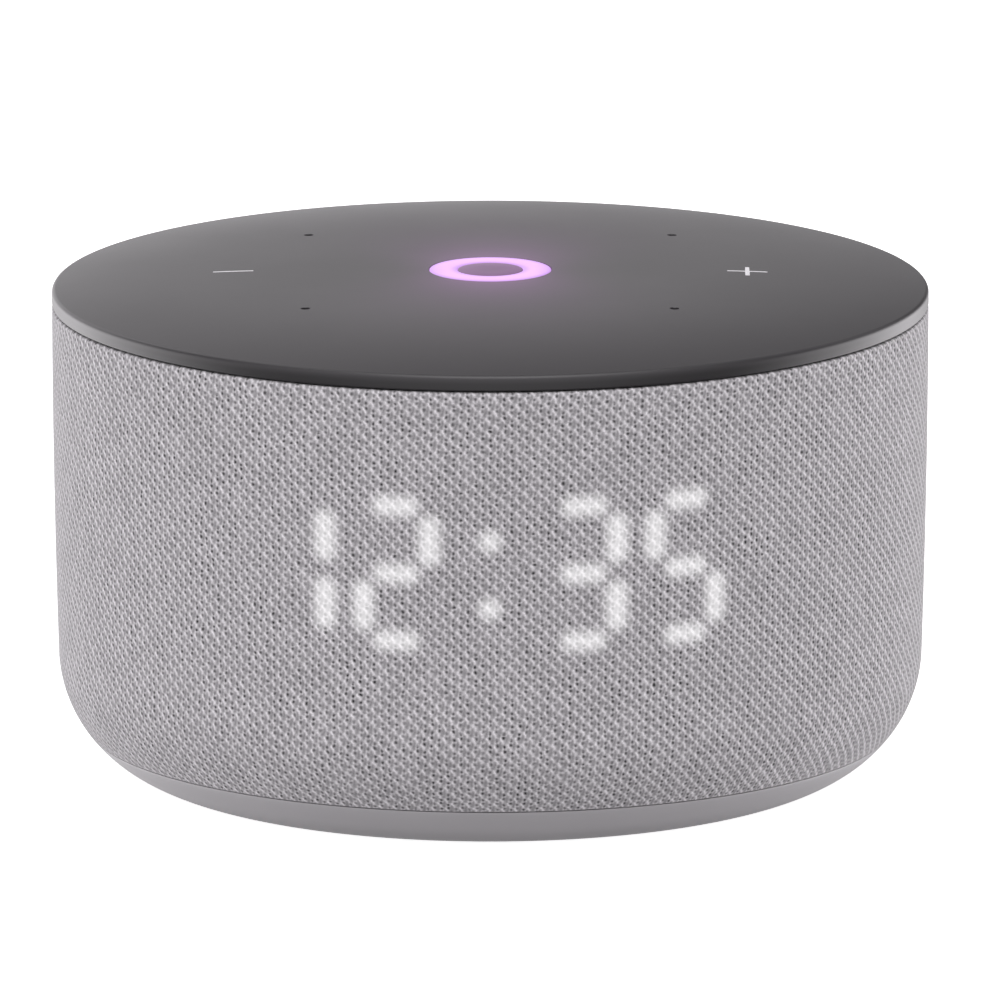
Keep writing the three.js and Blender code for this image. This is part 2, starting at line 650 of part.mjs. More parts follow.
function bafflePlate() {
  const plate = ring(21.8, 46.5, BAFFLE_Z, BAFFLE_Z + BAFFLE_T, 36);
  const postEndZ = 6.3;
  const basePlaces = BASE_SCREW_ANGLES.map((angle) => onCircle(BASE_SCREW_R, angle));
  const posts = basePlaces.map(([x, y]) => rod(2.9, postEndZ, BAFFLE_Z + 0.5, x, y, 16));
  const pilots = basePlaces.map(([x, y]) => rod(1.2, postEndZ - 1, BAFFLE_Z - 2.1, x, y));
  const driverPilots = DRIVER_SCREW_ANGLES.map(
    (angle) => rod(0.9, BAFFLE_Z - 1, BAFFLE_Z + 1.9, ...onCircle(DRIVER_SCREW_R, angle), 8),
  );
  return cut(union(plate, ...posts), ...pilots, ...driverPilots);
}

function enclosureShell() {
  const wallT = 2;
  const chamfer = 1;
  const bottom = BAFFLE_Z + BAFFLE_T + 0.5;
  const inner = ENCLOSURE_R - wallT;
  const cup = turned([
    [0, ENCLOSURE_TOP_Z], [ENCLOSURE_R - chamfer, ENCLOSURE_TOP_Z],
    [ENCLOSURE_R, ENCLOSURE_TOP_Z - chamfer], [ENCLOSURE_R, bottom], [inner, bottom],
    [inner, ENCLOSURE_TOP_Z - wallT], [0, ENCLOSURE_TOP_Z - wallT],
  ], INNER_FACETS);
  const boardPosts = DRIVER_SCREW_ANGLES.map(
    (angle) => rod(2.5, ENCLOSURE_TOP_Z - 0.5, MAIN_BOARD_Z - 0.1, ...onCircle(BOARD_POST_R, angle)),
  );
  return union(cup, ...boardPosts);
}

function buildEnclosure() {
  const chamber = group();
  const sealZ = BAFFLE_Z + BAFFLE_T + 0.1;
  addPart(chamber, "baffle_plate", bafflePlate(), BLACK_PLASTIC);
  addPart(chamber, "enclosure_seal", ring(35.8, 37.2, sealZ, sealZ + 0.3, INNER_FACETS), BLACK_RUBBER);
  addPart(chamber, "enclosure_shell", enclosureShell(), BLACK_PLASTIC);
  const floorZ = UNDERSIDE_Z + BASE_WALL + 0.1;
  addPart(chamber, "sound_deflector", turned([
    [0, floorZ], [16, floorZ], [16, floorZ + 0.6], [9, floorZ + 1.8],
    [4, floorZ + 4.0], [1.5, floorZ + 5.4], [0, floorZ + 5.6],
  ], INNER_FACETS), BLACK_PLASTIC);
}

// ---------------------------------------------------------------- driver, in its own frame

const driverScrewHoles = (z0, z1) => DRIVER_SCREW_ANGLES.map(
  (angle) => rod(DRIVER_HOLE_R, z0, z1, ...onCircle(DRIVER_SCREW_R, angle), 8),
);

function driverBasket() {
  const body = turnedLoop([
    [20.4, 0], [25, 0], [25, 1.5], [21.4, 1.5], [15.6, 10.6], [15.6, 12],
    [9, 12], [9, 10.8], [14.4, 10.8], [14.4, 10], [20.4, 1.2],
  ], INNER_FACETS);
  const openings = [0, 1, 2, 3].map((i) => {
    const geometry = new THREE.BoxGeometry(10, 13, 5.2);
    geometry.translate(19, 0, 5.6);
    geometry.rotateZ((i * Math.PI) / 2 + Math.PI / 4);
    return solid(geometry);
  });
  return cut(body, ...openings, ...driverScrewHoles(-1, 3));
}

const FLEX_T = 0.4;             // thickness of the surround and the spider

// A ring whose section is a wavy strip of even thickness, listed from inside to outside.
function wavyRing(line, thickness, facets) {
  const upper = line.map(([r, z]) => [r, z + thickness]).reverse();
  return turnedLoop([...line, ...upper], facets);
}

function surroundLine() {
  const [rollIn, rollOut, flatOut] = [17.7, 20.6, 22.0];
  const flatZ = -0.55;
  const rollH = 1.5;
  const middle = (rollIn + rollOut) / 2;
  const roll = [];
  const steps = 4;
  for (let i = 0; i <= steps; i += 1) {
    const angle = (Math.PI * i) / steps;
    const r = middle - ((rollOut - rollIn) / 2) * Math.cos(angle);
    roll.push([r, flatZ - rollH * Math.sin(angle)]);
  }
  return [...roll, [flatOut, flatZ]];
}

function spiderLine() {
  const [rIn, rOut] = [6.9, 14.2];
  const [lowZ, highZ] = [9.05, 9.35];
  const steps = 4;
  return Array.from({ length: steps + 1 }, (_, i) => {
    const r = THREE.MathUtils.lerp(rIn, rOut, i / steps);
    return [r, i % 2 ? highZ : lowZ];
  });
}

function driverCone() {
  return turnedLoop([[6.85, 5.0], [12, 2.0], [17.3, -0.6], [17.4, -0.1], [12.2, 2.5], [6.85, 5.7]]);
}

function dustCap() {
  const outer = [[0, 2.6], [2.6, 2.9], [4.8, 3.8], [6.5, 5.0]];
  const inner = [[6.2, 5.3], [4.5, 4.2], [2.4, 3.3], [0, 3.0]];
  return turned([...outer, ...inner], DRIVER_FACETS);
}

function buildDriver() {
  const driver = group(speaker, DRIVER_Z);
  addPart(driver, "driver_basket", driverBasket(), ZINC_STEEL);
  const gasket = cut(ring(21.9, 24.8, 1.6, 2.2), ...driverScrewHoles(0, 4));
  addPart(driver, "driver_gasket", gasket, BLACK_RUBBER);
  addPart(driver, "driver_top_plate", ring(7.0, 15.2, 12.1, 15.1, DRIVER_FACETS), ZINC_STEEL);
  addPart(driver, "driver_magnet", ring(8.6, 16.6, 15.2, 22.2, DRIVER_FACETS), FERRITE);
  addPart(driver, "driver_yoke", turned([
    [0, 12.3], [5.6, 12.3], [5.6, 22.3], [15.6, 22.3], [15.6, 25.3], [0, 25.3],
  ], DRIVER_FACETS), ZINC_STEEL);
  addPart(driver, "voice_coil", ring(6.0, 6.6, 5.8, 15.0, DRIVER_FACETS), COPPER);
  addPart(driver, "spider", wavyRing(spiderLine(), FLEX_T, DRIVER_FACETS), SPIDER_AMBER);
  addPart(driver, "driver_cone", driverCone(), PAPER_BLACK);
  addPart(driver, "dust_cap", dustCap(), PAPER_BLACK);
  addPart(driver, "surround", wavyRing(surroundLine(), FLEX_T, INNER_FACETS), BLACK_RUBBER);
  const screw = screwBody(1.3, 1.2, 0.7, 4);
  const screwZ = -1.3;
  DRIVER_SCREW_ANGLES.forEach((angle, i) => {
    const place = [...onCircle(DRIVER_SCREW_R, angle), screwZ];
    addPart(driver, `driver_screw_${i + 1}`, screw, ZINC_STEEL, place);
  });
}

buildShells();
buildTouchTop();
buildDisplay();
buildRearPorts();
buildElectronics();
buildEnclosure();
buildDriver();

export default speaker;
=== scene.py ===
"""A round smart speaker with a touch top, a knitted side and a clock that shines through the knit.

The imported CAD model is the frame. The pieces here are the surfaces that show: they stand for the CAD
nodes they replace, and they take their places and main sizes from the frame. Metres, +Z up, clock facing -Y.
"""
import json
import math

import bmesh
import bpy
import numpy as np
from mathutils import Matrix, Vector


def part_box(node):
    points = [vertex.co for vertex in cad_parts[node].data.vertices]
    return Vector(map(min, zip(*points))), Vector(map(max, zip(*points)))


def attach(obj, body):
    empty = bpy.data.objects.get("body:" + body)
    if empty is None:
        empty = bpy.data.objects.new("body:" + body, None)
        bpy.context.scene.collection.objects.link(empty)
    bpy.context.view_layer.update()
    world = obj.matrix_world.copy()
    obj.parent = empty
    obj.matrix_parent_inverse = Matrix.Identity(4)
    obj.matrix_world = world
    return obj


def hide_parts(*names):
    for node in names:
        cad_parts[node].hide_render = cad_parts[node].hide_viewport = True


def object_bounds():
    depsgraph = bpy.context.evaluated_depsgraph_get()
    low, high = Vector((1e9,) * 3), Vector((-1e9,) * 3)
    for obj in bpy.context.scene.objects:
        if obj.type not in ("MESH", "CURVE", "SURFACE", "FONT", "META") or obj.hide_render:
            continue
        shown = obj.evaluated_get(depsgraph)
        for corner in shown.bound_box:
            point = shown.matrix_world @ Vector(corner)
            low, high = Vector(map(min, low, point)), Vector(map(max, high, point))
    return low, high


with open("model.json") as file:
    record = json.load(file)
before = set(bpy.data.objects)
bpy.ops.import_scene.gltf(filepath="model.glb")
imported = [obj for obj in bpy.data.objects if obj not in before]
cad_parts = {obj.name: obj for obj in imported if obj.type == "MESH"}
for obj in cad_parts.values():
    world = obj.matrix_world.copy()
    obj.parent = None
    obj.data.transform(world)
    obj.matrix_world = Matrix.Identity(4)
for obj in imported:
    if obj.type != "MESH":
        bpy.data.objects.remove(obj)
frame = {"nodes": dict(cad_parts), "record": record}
cad_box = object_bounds()

# ------------------------------------------------------------------ sizes, from the frame

MM = 0.001


def size_of(node):
    low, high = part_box(node)
    return high - low


def centre_of(node):
    low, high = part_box(node)
    return (low + high) / 2


BODY_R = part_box("top_cover")[1].x
BAND_H = 1.75 * MM                  # the top cover's visible band
PANEL_GAP = 0.3 * MM
BAND_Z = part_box("fabric_sleeve")[1].z + PANEL_GAP
RIM_Z = BAND_Z + BAND_H
TOP_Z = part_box("ring_lens")[1].z
DOME_H = TOP_Z - RIM_Z
DOME_POWER = 4
UNDERSIDE_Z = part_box("base_cover")[0].z
SEAM_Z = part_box("base_cover")[1].z + 0.1 * MM
ROUND_R = 15.2 * MM                 # the big round between side and underside
SIDE_DRAFT = 0.64 * MM              # how much the side pulls in above that round
ROUND_START = math.radians(2.1)
ROUND_Z = UNDERSIDE_Z + ROUND_R
ROUND_CENTRE_R = BODY_R - SIDE_DRAFT - ROUND_R
ROUND_TOP_Z = ROUND_Z - ROUND_R * math.sin(ROUND_START)

RING_OUT_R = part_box("ring_lens")[1].x
DISC_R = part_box("ring_centre_disc")[1].x
RING_IN_R = DISC_R + 0.12 * MM
MARK_X = centre_of("volume_up_mark").x
MARK_LENGTH = size_of("volume_up_mark").x
MARK_WIDTH = size_of("volume_down_mark").y
MIC_XY = centre_of("microphone_4").x
MIC_HOLE_R = 0.55 * MM

FOOT_IN_R = 25.5 * MM
FOOT_OUT_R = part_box("foot_ring")[1].x
PORT_W = size_of("rear_port_bezel").x
PORT_H = size_of("rear_port_bezel").z

CLOCK_Z = centre_of("display_diffuser").z
DIGITS = [math.radians(a) for a in (-26.2, -12.25, 12.25, 26.2)]    # the digits' middles, round the body
COLUMN = math.radians(4.36)         # a digit's columns, left and right of its middle
ROW_PITCH = 7.9 * MM                # between a digit's three rows
BAR_LENGTH = 5.0 * MM               # its level segments
BAR_WIDTH = 2.07 * MM
POST_LENGTH = 5.6 * MM              # its upright segments
POST_WIDTH = 2.4 * MM
COLON_DZ = 3.95 * MM
COLON_R = 1.12 * MM
BLUR = 1.15 * MM                    # how far the knit spreads the edge of a lit segment

WALES = 380                         # knit columns all round; even, because they alternate
COURSE_H = 1.57 * MM                # height of one knit repeat
WALE_W = 2 * math.pi * BODY_R / WALES

TOP_COLOUR = (0.034, 0.032, 0.0346)
BASE_COLOUR = (0.46, 0.451, 0.464)
KNIT_COLOUR = (0.456, 0.445, 0.46)
KNIT_YARN_AND_HIGHLIGHT = 0.62                    # how much brighter the raised yarn is, partly as painted highlight
KNIT_HOLE_AND_SHADE = 0.80                    # how much darker the holes are, partly as painted shade
KNIT_FURROW_AND_SHADE = 0.40                  # how much darker the furrow is, partly as painted shade

ROUND_FACETS = 288


def side_radius(z):
    """Radius of the outer form on the straight part of the side."""
    drop = (RIM_Z - z) / (RIM_Z - ROUND_Z)
    return BODY_R - SIDE_DRAFT * drop * drop


def dome_z(r):
    """Height of the touch top at a radius."""
    return RIM_Z + DOME_H * (1 - (r / BODY_R) ** DOME_POWER)


def dome_slope(r):
    return -DOME_H * DOME_POWER * (r / BODY_R) ** (DOME_POWER - 1) / BODY_R


# ------------------------------------------------------------------ mesh helpers


def lerp(a, b, t):
    return a + (b - a) * t


def arc(centre_r, centre_z, radius, start, end, steps):
    """Points on an arc in the (r, z) plane; angles in degrees from +r towards +z."""
    angles = [math.radians(lerp(start, end, i / steps)) for i in range(steps + 1)]
    return [(centre_r + radius * math.cos(a), centre_z + radius * math.sin(a)) for a in angles]


def wall_line(inward, z_top, z_bottom, side_steps, round_steps):
    """The outer form between two heights, moved inward, from top to bottom."""
    side_end = max(ROUND_TOP_Z, z_bottom)
    heights = [lerp(z_top, side_end, i / side_steps) for i in range(side_steps + 1)]
    line = [(side_radius(z) - inward, z) for z in heights]
    if z_bottom < ROUND_TOP_Z:
        radius = ROUND_R - inward
        last = math.asin((ROUND_Z - z_bottom) / radius)
        start, end = -math.degrees(ROUND_START), -math.degrees(last)
        line += arc(ROUND_CENTRE_R, ROUND_Z, radius, start, end, round_steps)[1:]
    return line


def new_piece(name, vertices, faces):
    mesh = bpy.data.meshes.new(name)
    mesh.from_pydata(vertices, [], faces)
    work = bmesh.new()
    work.from_mesh(mesh)
    bmesh.ops.recalc_face_normals(work, faces=work.faces)
    work.to_mesh(mesh)
    work.free()
    piece = bpy.data.objects.new(name, mesh)
    bpy.context.scene.collection.objects.link(piece)
    return piece


def lathe(name, outline, facets=ROUND_FACETS, closed=True):
    """An outline of (radius, height) points turned round Z. Points on the axis become poles."""
    turns = [2 * math.pi * i / facets + math.pi / 2 for i in range(facets)]
    vertices = []
    rings = []
    for r, z in outline:
        first = len(vertices)
        if r < 1e-7:
            vertices.append((0.0, 0.0, z))
            rings.append([first] * facets)
        else:
            vertices += [(r * math.cos(t), r * math.sin(t), z) for t in turns]
            rings.append(list(range(first, first + facets)))
    pairs = list(zip(rings, rings[1:] + rings[:1] if closed else rings[1:]))
    faces = []
    for lower, upper in pairs:
        for i in range(facets):
            j = (i + 1) % facets
            face = list(dict.fromkeys((lower[i], lower[j], upper[j], upper[i])))
            if len(face) > 2:
                faces.append(face)
    return new_piece(name, vertices, faces)


def prism(name, outline, low, high, axis="Z"):
    """A flat outline extruded along Z, or along Y for the rear ports."""
    count = len(outline)
    if axis == "Z":
        vertices = [(x, y, h) for h in (low, high) for x, y in outline]
    else:
        vertices = [(x, h, z) for h in (low, high) for x, z in outline]
    sides = [(i, (i + 1) % count, (i + 1) % count + count, i + count) for i in range(count)]
    caps = [tuple(range(count)), tuple(range(count, 2 * count))]
    return new_piece(name, vertices, sides + caps)


def rounded_box(width, height, radius, x=0.0, y=0.0, steps=8):
    """Outline of a rectangle with round corners."""
    outline = []
    for corner, (sx, sy) in enumerate([(1, 1), (-1, 1), (-1, -1), (1, -1)]):
        cx = x + sx * (width / 2 - radius)
        cy = y + sy * (height / 2 - radius)
        outline += arc(cx, cy, radius, 90 * corner, 90 * corner + 90, steps)
    return outline


def circle(radius, x=0.0, y=0.0, steps=48):
    turns = [2 * math.pi * i / steps for i in range(steps)]
    return [(x + radius * math.cos(t), y + radius * math.sin(t)) for t in turns]


def bake_modifiers(piece):
    """Turns a piece's modifiers into its mesh."""
    bpy.context.view_layer.update()
    graph = bpy.context.evaluated_depsgraph_get()
    made = bpy.data.meshes.new_from_object(piece.evaluated_get(graph))
    piece.modifiers.clear()
    piece.data = made


def carve(piece, *tools, operation="DIFFERENCE"):
    """Cuts the tools out of a piece, or keeps what is inside them, and removes the tools."""
    for tool in tools:
        step = piece.modifiers.new("carve", "BOOLEAN")
        step.operation = operation
        step.solver = "EXACT"
        step.object = tool
        bake_modifiers(piece)
        bpy.data.objects.remove(tool)


def join(first, *others):
    """Makes one piece of several that may touch."""
    work = bmesh.new()
    for piece in (first, *others):
        work.from_mesh(piece.data)
    work.to_mesh(first.data)
    work.free()
    for piece in others:
        bpy.data.objects.remove(piece)
    return first


def soften(piece, width):
    """Rounds a piece's sharp edges."""
    step = piece.modifiers.new("soften", "BEVEL")
    step.width = width
    step.segments = 2
    step.limit_method = "ANGLE"
    step.angle_limit = math.radians(50)
    step.use_clamp_overlap = True
    bake_modifiers(piece)


def smooth(piece, angle=32):
    piece.data.shade_smooth()
    piece.data.set_sharp_from_angle(angle=math.radians(angle))
    return piece


def dome_normals(piece, out_to):
    """Gives the touch top the dome's own normals, so that the cuts in it leave no trace in its gloss."""
    mesh = piece.data
    corners = np.array([c.vector for c in mesh.corner_normals])
    for face in mesh.polygons:
        flat_r = math.hypot(face.center.x, face.center.y)
        on_top = face.normal.z > 0.9 and abs(face.center.z - dome_z(flat_r)) < 0.05 * MM
        if on_top and flat_r < out_to:
            for loop in face.loop_indices:
                x, y, _ = mesh.vertices[mesh.loops[loop].vertex_index].co
                r = math.hypot(x, y)
                slope = dome_slope(r) / max(r, 1e-9)
                normal = np.array([-slope * x, -slope * y, 1.0])
                corners[loop] = normal / np.linalg.norm(normal)
    mesh.normals_split_custom_set([tuple(c) for c in corners])


def finish_piece(piece, material, body, slot, *nodes):
    """Paints a piece, ties it to its CAD body and hides the CAD nodes it stands for. The slot is not used."""
    piece.data.materials.clear()
    piece.data.materials.append(material)
    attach(piece, body)
    if nodes:
        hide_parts(*nodes)


# ------------------------------------------------------------------ shader helpers


class Graph:
    """Short calls for building a material's nodes. A value is a number, a tuple or a socket."""

    def __init__(self, name):
        self.material = bpy.data.materials.new(name)
        self.material.use_nodes = True
        self.tree = self.material.node_tree
        self.tree.nodes.clear()
        self.shader = self.add("ShaderNodeBsdfPrincipled")
        output = self.add("ShaderNodeOutputMaterial")
        self.tree.links.new(self.shader.outputs[0], output.inputs[0])

    def add(self, kind, **settings):
        node = self.tree.nodes.new(kind)
        for key, value in settings.items():
            setattr(node, key, value)
        return node

    def put(self, socket, value):
        if isinstance(value, bpy.types.NodeSocket):
            self.tree.links.new(value, socket)
        else:
            socket.default_value = value

    def set(self, **values):
        """Sets the shader's sockets; spaces in their names are written as underscores."""
        for key, value in values.items():
            if isinstance(value, tuple):
                value = (*value, 1.0)
            self.put(self.shader.inputs[key.replace("_", " ")], value)

    def math(self, operation, *values, clamp=False):
        node = self.add("ShaderNodeMath", operation=operation, use_clamp=clamp)
        for socket, value in zip(node.inputs, values):
            self.put(socket, value)
        return node.outputs[0]

    def least(self, values):
        result = values[0]
        for value in values[1:]:
            result = self.math("MINIMUM", result, value)
        return result

    def vector(self, operation, *values):
        node = self.add("ShaderNodeVectorMath", operation=operation)
        for socket, value in zip(node.inputs, values):
            self.put(socket, value)
        return node

    def length(self, vector):
        return self.vector("LENGTH", vector).outputs["Value"]

    def scaled(self, vector, factor):
        node = self.add("ShaderNodeVectorMath", operation="SCALE")
        self.put(node.inputs[0], vector)
        self.put(node.inputs["Scale"], factor)
        return node.outputs[0]

    def combine(self, x, y, z=0.0):
        node = self.add("ShaderNodeCombineXYZ")
        for socket, value in zip(node.inputs, (x, y, z)):
            self.put(socket, value)
        return node.outputs[0]

    def place(self):
        return self.add("ShaderNodeTexCoord").outputs["Object"]

    def split(self, vector):
        node = self.add("ShaderNodeSeparateXYZ")
        self.put(node.inputs[0], vector)
        return node.outputs

    def noise(self, vector, size, detail=3.0, roughness=0.55):
        """Soft noise from 0 to 1, with features about as large as size."""
        node = self.add("ShaderNodeTexNoise")
        self.put(node.inputs["Vector"], vector)
        self.put(node.inputs["Scale"], 1.0 / size)
        self.put(node.inputs["Detail"], detail)
        self.put(node.inputs["Roughness"], roughness)
        return node.outputs["Fac"]

    def chance(self, vector):
        """A number from 0 to 1 that is the same wherever the vector is."""
        node = self.add("ShaderNodeTexWhiteNoise", noise_dimensions="3D")
        self.put(node.inputs["Vector"], vector)
        return node.outputs["Value"]

    def fade(self, value, start, end, low=0.0, high=1.0):
        """A smooth step from low to high as the value goes from start to end."""
        node = self.add("ShaderNodeMapRange", interpolation_type="SMOOTHSTEP")
        for socket, number in zip(node.inputs, (value, start, end, low, high)):
            self.put(socket, number)
        return node.outputs[0]

    def spread(self, value, low, high):
        """Takes a value from 0..1 to low..high."""
        return self.math("MULTIPLY_ADD", value, high - low, low)

    def mix(self, factor, first, second):
        node = self.add("ShaderNodeMix", data_type="RGBA")
        sockets = [s for s in node.inputs if s.enabled]
        for socket, value in zip(sockets, (factor, first, second)):
            if isinstance(value, tuple):
                value = (*value, 1.0)
            self.put(socket, value)
        return next(s for s in node.outputs if s.enabled)

    def tint(self, colour, level):
        """A colour times a level."""
        return self.scaled(colour, level)

    def bump(self, height, depth):
        node = self.add("ShaderNodeBump")
        self.put(node.inputs["Height"], height)
        self.put(node.inputs["Distance"], depth)
        return node.outputs[0]


def moulded(name, colour, rough, grain=0.12 * MM, depth=0.008 * MM, uneven=0.06):
    """Moulded plastic, rubber or paper: fine grain, faint mottling and an uneven gloss."""
    g = Graph(name)
    place = g.place()
    cloud = g.noise(place, 9 * MM, 4)
    fine = g.noise(place, grain, 2)
    level = g.math("MULTIPLY", g.spread(cloud, 1 - uneven, 1 + uneven), g.spread(fine, 0.96, 1.04))
    g.set(
        Base_Color=g.tint(colour, level),
        Roughness=g.math("ADD", g.spread(cloud, rough - 0.05, rough + 0.05), g.spread(fine, -0.03, 0.03)),
        Normal=g.bump(fine, depth),
    )
    return g.material


def metal(name, colour, rough, stretch=(1, 1, 12), scratch=0.25 * MM):
    """Sheet or turned metal with fine drawn lines and blotchy gloss."""
    g = Graph(name)
    place = g.place()
    drawn = g.vector("MULTIPLY", place, stretch).outputs[0]
    lines = g.noise(drawn, scratch, 3)
    cloud = g.noise(place, 5 * MM, 4)
    g.set(
        Base_Color=g.tint(colour, g.spread(cloud, 0.9, 1.06)),
        Metallic=1.0,
        Roughness=g.math("MULTIPLY", g.spread(lines, rough * 0.8, rough * 1.2), g.spread(cloud, 0.85, 1.15)),
        Normal=g.bump(lines, 0.002 * MM),
    )
    return g.material


def circuit_board(name):
    """Green solder mask over copper tracks, with tinned pads."""
    g = Graph(name)
    place = g.place()
    x, y, _ = g.split(place)
    pitch = 0.9 * MM
    cell = 6 * MM
    bend = g.spread(g.noise(place, 7 * MM, 1), -2 * pitch, 2 * pitch)
    across = g.math("PINGPONG", g.math("ADD", x, bend), pitch)
    along = g.math("PINGPONG", g.math("ADD", y, bend), pitch)
    lane = g.chance(g.vector("SNAP", place, (cell, cell, cell)).outputs[0])
    route = g.math("GREATER_THAN", lane, 0.5)
    run = g.math("ADD", g.math("MULTIPLY", across, route),
                 g.math("MULTIPLY", along, g.math("SUBTRACT", 1.0, route)))
    track = g.fade(run, 0.18 * MM, 0.26 * MM, 1.0, 0.0)
    cells = g.add("ShaderNodeTexVoronoi", feature="F1")
    g.put(cells.inputs["Vector"], place)
    g.put(cells.inputs["Scale"], 1 / (3.2 * MM))
    pad = g.fade(cells.outputs["Distance"], 0.14, 0.17, 1.0, 0.0)
    mask = g.mix(track, (0.006, 0.05, 0.022), (0.016, 0.105, 0.045))
    g.set(
        Base_Color=g.mix(pad, mask, (0.55, 0.54, 0.5)),
        Metallic=g.math("MULTIPLY", pad, 0.9),
        Roughness=g.spread(g.noise(place, 1.5 * MM), 0.3, 0.45),
        Normal=g.bump(g.math("ADD", track, pad), 0.03 * MM),
    )
    return g.material


def winding(name):
    """Enamelled copper wire, laid turn on turn up the coil."""
    g = Graph(name)
    place = g.place()
    wire_r = 0.11 * MM
    turn = g.fade(g.math("PINGPONG", g.split(place)[2], wire_r), 0.0, wire_r)
    g.set(
        Base_Color=g.mix(g.noise(place, 2 * MM), (0.42, 0.13, 0.04), (0.62, 0.24, 0.08)),
        Metallic=0.9,
        Roughness=0.3,
        Coat_Weight=0.6,
        Normal=g.bump(turn, 0.08 * MM),
    )
    return g.material


def treated_cloth(name, colour):
    """Plain-woven cloth stiffened with resin."""
    g = Graph(name)
    place = g.place()
    x, y, _ = g.split(place)
    thread = 0.45 * MM
    warp = g.math("SINE", g.math("MULTIPLY", x, math.pi / thread))
    weft = g.math("SINE", g.math("MULTIPLY", y, math.pi / thread))
    weave = g.spread(g.math("MULTIPLY", warp, weft), 0.5, 1.0)
    level = g.math("MULTIPLY", g.spread(weave, 0.72, 1.05), g.spread(g.noise(place, 3 * MM), 0.88, 1.1))
    g.set(
        Base_Color=g.tint(colour, level),
        Roughness=g.spread(weave, 0.75, 0.6),
        Sheen_Weight=0.15,
        Normal=g.bump(weave, 0.06 * MM),
    )
    return g.material


# ------------------------------------------------------------------ the speaker's own finishes


def touch_top_material():
    """Satin dark plastic, with painted shade on the band and in the holes, and the ring's glow painted on it.
    """
    g = Graph("top_dark_satin")
    place = g.place()
    x, y, z = g.split(place)
    radius = g.length(g.combine(x, y))
    above = g.fade(z, RIM_Z - 0.2 * MM, RIM_Z + 0.5 * MM)
    off_ring = g.math("MAXIMUM", g.math("SUBTRACT", radius, RING_OUT_R), 0.0)
    forward = g.math("POWER", g.math("DIVIDE", y, radius), 2.0)
    reach = g.spread(forward, 2.5 * MM, 8.0 * MM)
    fall = g.math("EXPONENT", g.math("DIVIDE", g.math("MULTIPLY", off_ring, -1.0), reach))
    glow = g.math("MULTIPLY", g.math("MULTIPLY", fall, g.spread(forward, 0.05, 0.14)), above)
    # painted shade: below the dome's surface, on the band and in the holes, the colour darkens to half
    fallen = g.math("MULTIPLY", g.math("POWER", g.math("DIVIDE", radius, BODY_R), DOME_POWER), DOME_H)
    depth = g.math("SUBTRACT", g.math("SUBTRACT", TOP_Z, fallen), z)
    below = g.fade(depth, 0.3 * MM, 1.0 * MM, 1.0, 0.5)
    fine = g.noise(place, 0.10 * MM, 2)
    cloud = g.noise(place, 14 * MM, 4)
    level = g.math("MULTIPLY", g.spread(fine, 0.94, 1.06), g.spread(cloud, 0.97, 1.03))
    level = g.math("MULTIPLY", level, below)
    g.set(
        Base_Color=g.tint(TOP_COLOUR, level),
        Roughness=g.math("ADD", g.spread(cloud, 0.36, 0.40), g.spread(fine, -0.02, 0.02)),
        Normal=g.bump(fine, 0.003 * MM),
        Emission_Color=g.tint((0.9, 0.36, 1.0), glow),
        Emission_Strength=1.0,
    )
    return g.material


def ring_material():
    """The lit light pipe: near white-pink in the middle of its width, violet at its edges."""
    g = Graph("ring_glow_lit")
    place = g.place()
    x, y, _ = g.split(place)
    radius = g.length(g.combine(x, y))
    middle = (RING_OUT_R + RING_IN_R) / 2
    half = (RING_OUT_R - RING_IN_R) / 2
    off = g.math("DIVIDE", g.math("ABSOLUTE", g.math("SUBTRACT", radius, middle)), half)
    edge = g.fade(off, 0.35, 1.05)
    side = g.fade(g.math("ABSOLUTE", x), 0.7 * RING_OUT_R, RING_OUT_R, 0.0, 0.55)
    violet = g.math("MAXIMUM", edge, side)
    cloud = g.noise(place, 2.2 * MM, 3)
    colour = g.mix(violet, (0.82, 0.46, 0.92), (0.55, 0.27, 0.80))
    g.set(
        Base_Color=(0.06, 0.04, 0.07),
        Roughness=g.spread(cloud, 0.34, 0.44),
        Emission_Color=g.mix(g.spread(cloud, 0.0, 0.25), colour, (0.86, 0.5, 0.95)),
        Emission_Strength=1.0,
        Normal=g.bump(g.noise(place, 0.15 * MM), 0.003 * MM),
    )
    return g.material


def disc_material():
    """The dark disc inside the ring, tinted by the light round it."""
    g = Graph("ring_disc_satin")
    place = g.place()
    x, y, _ = g.split(place)
    radius = g.length(g.combine(x, y))
    spill = g.fade(radius, 0.0, DISC_R, 0.15, 0.19)
    fine = g.noise(place, 0.10 * MM, 2)
    g.set(
        Base_Color=g.tint(TOP_COLOUR, g.spread(fine, 0.94, 1.06)),
        Roughness=g.spread(g.noise(place, 3 * MM), 0.36, 0.42),
        Normal=g.bump(fine, 0.003 * MM),
        Emission_Color=g.tint((0.9, 0.34, 1.0), spill),
        Emission_Strength=1.0,
    )
    return g.material


def mark_material():
    """Translucent light grey inlay, faintly lit from below."""
    g = Graph("mark_inlay")
    place = g.place()
    cloud = g.noise(place, 0.8 * MM, 3)
    g.set(
        Base_Color=g.tint((0.62, 0.61, 0.63), g.spread(cloud, 0.92, 1.05)),
        Roughness=g.spread(cloud, 0.3, 0.4),
        Emission_Color=g.tint((0.9, 0.88, 0.92), g.spread(cloud, 0.20, 0.30)),
        Emission_Strength=1.0,
        Normal=g.bump(g.noise(place, 0.1 * MM), 0.003 * MM),
    )
    return g.material


def nearest(g, value, places):
    """Distance from a value to the nearest of some places."""
    return g.least([g.math("ABSOLUTE", g.math("SUBTRACT", value, place)) for place in places])


def box_distance(g, across, up, width, height):
    """Distance outside a bar with round ends, from how far a point is from its middle."""
    corner = 0.98 * min(width, height) / 2
    dx = g.math("MAXIMUM", g.math("SUBTRACT", across, width / 2 - corner), 0.0)
    dz = g.math("MAXIMUM", g.math("SUBTRACT", up, height / 2 - corner), 0.0)
    return g.math("SUBTRACT", g.length(g.combine(dx, dz)), corner)


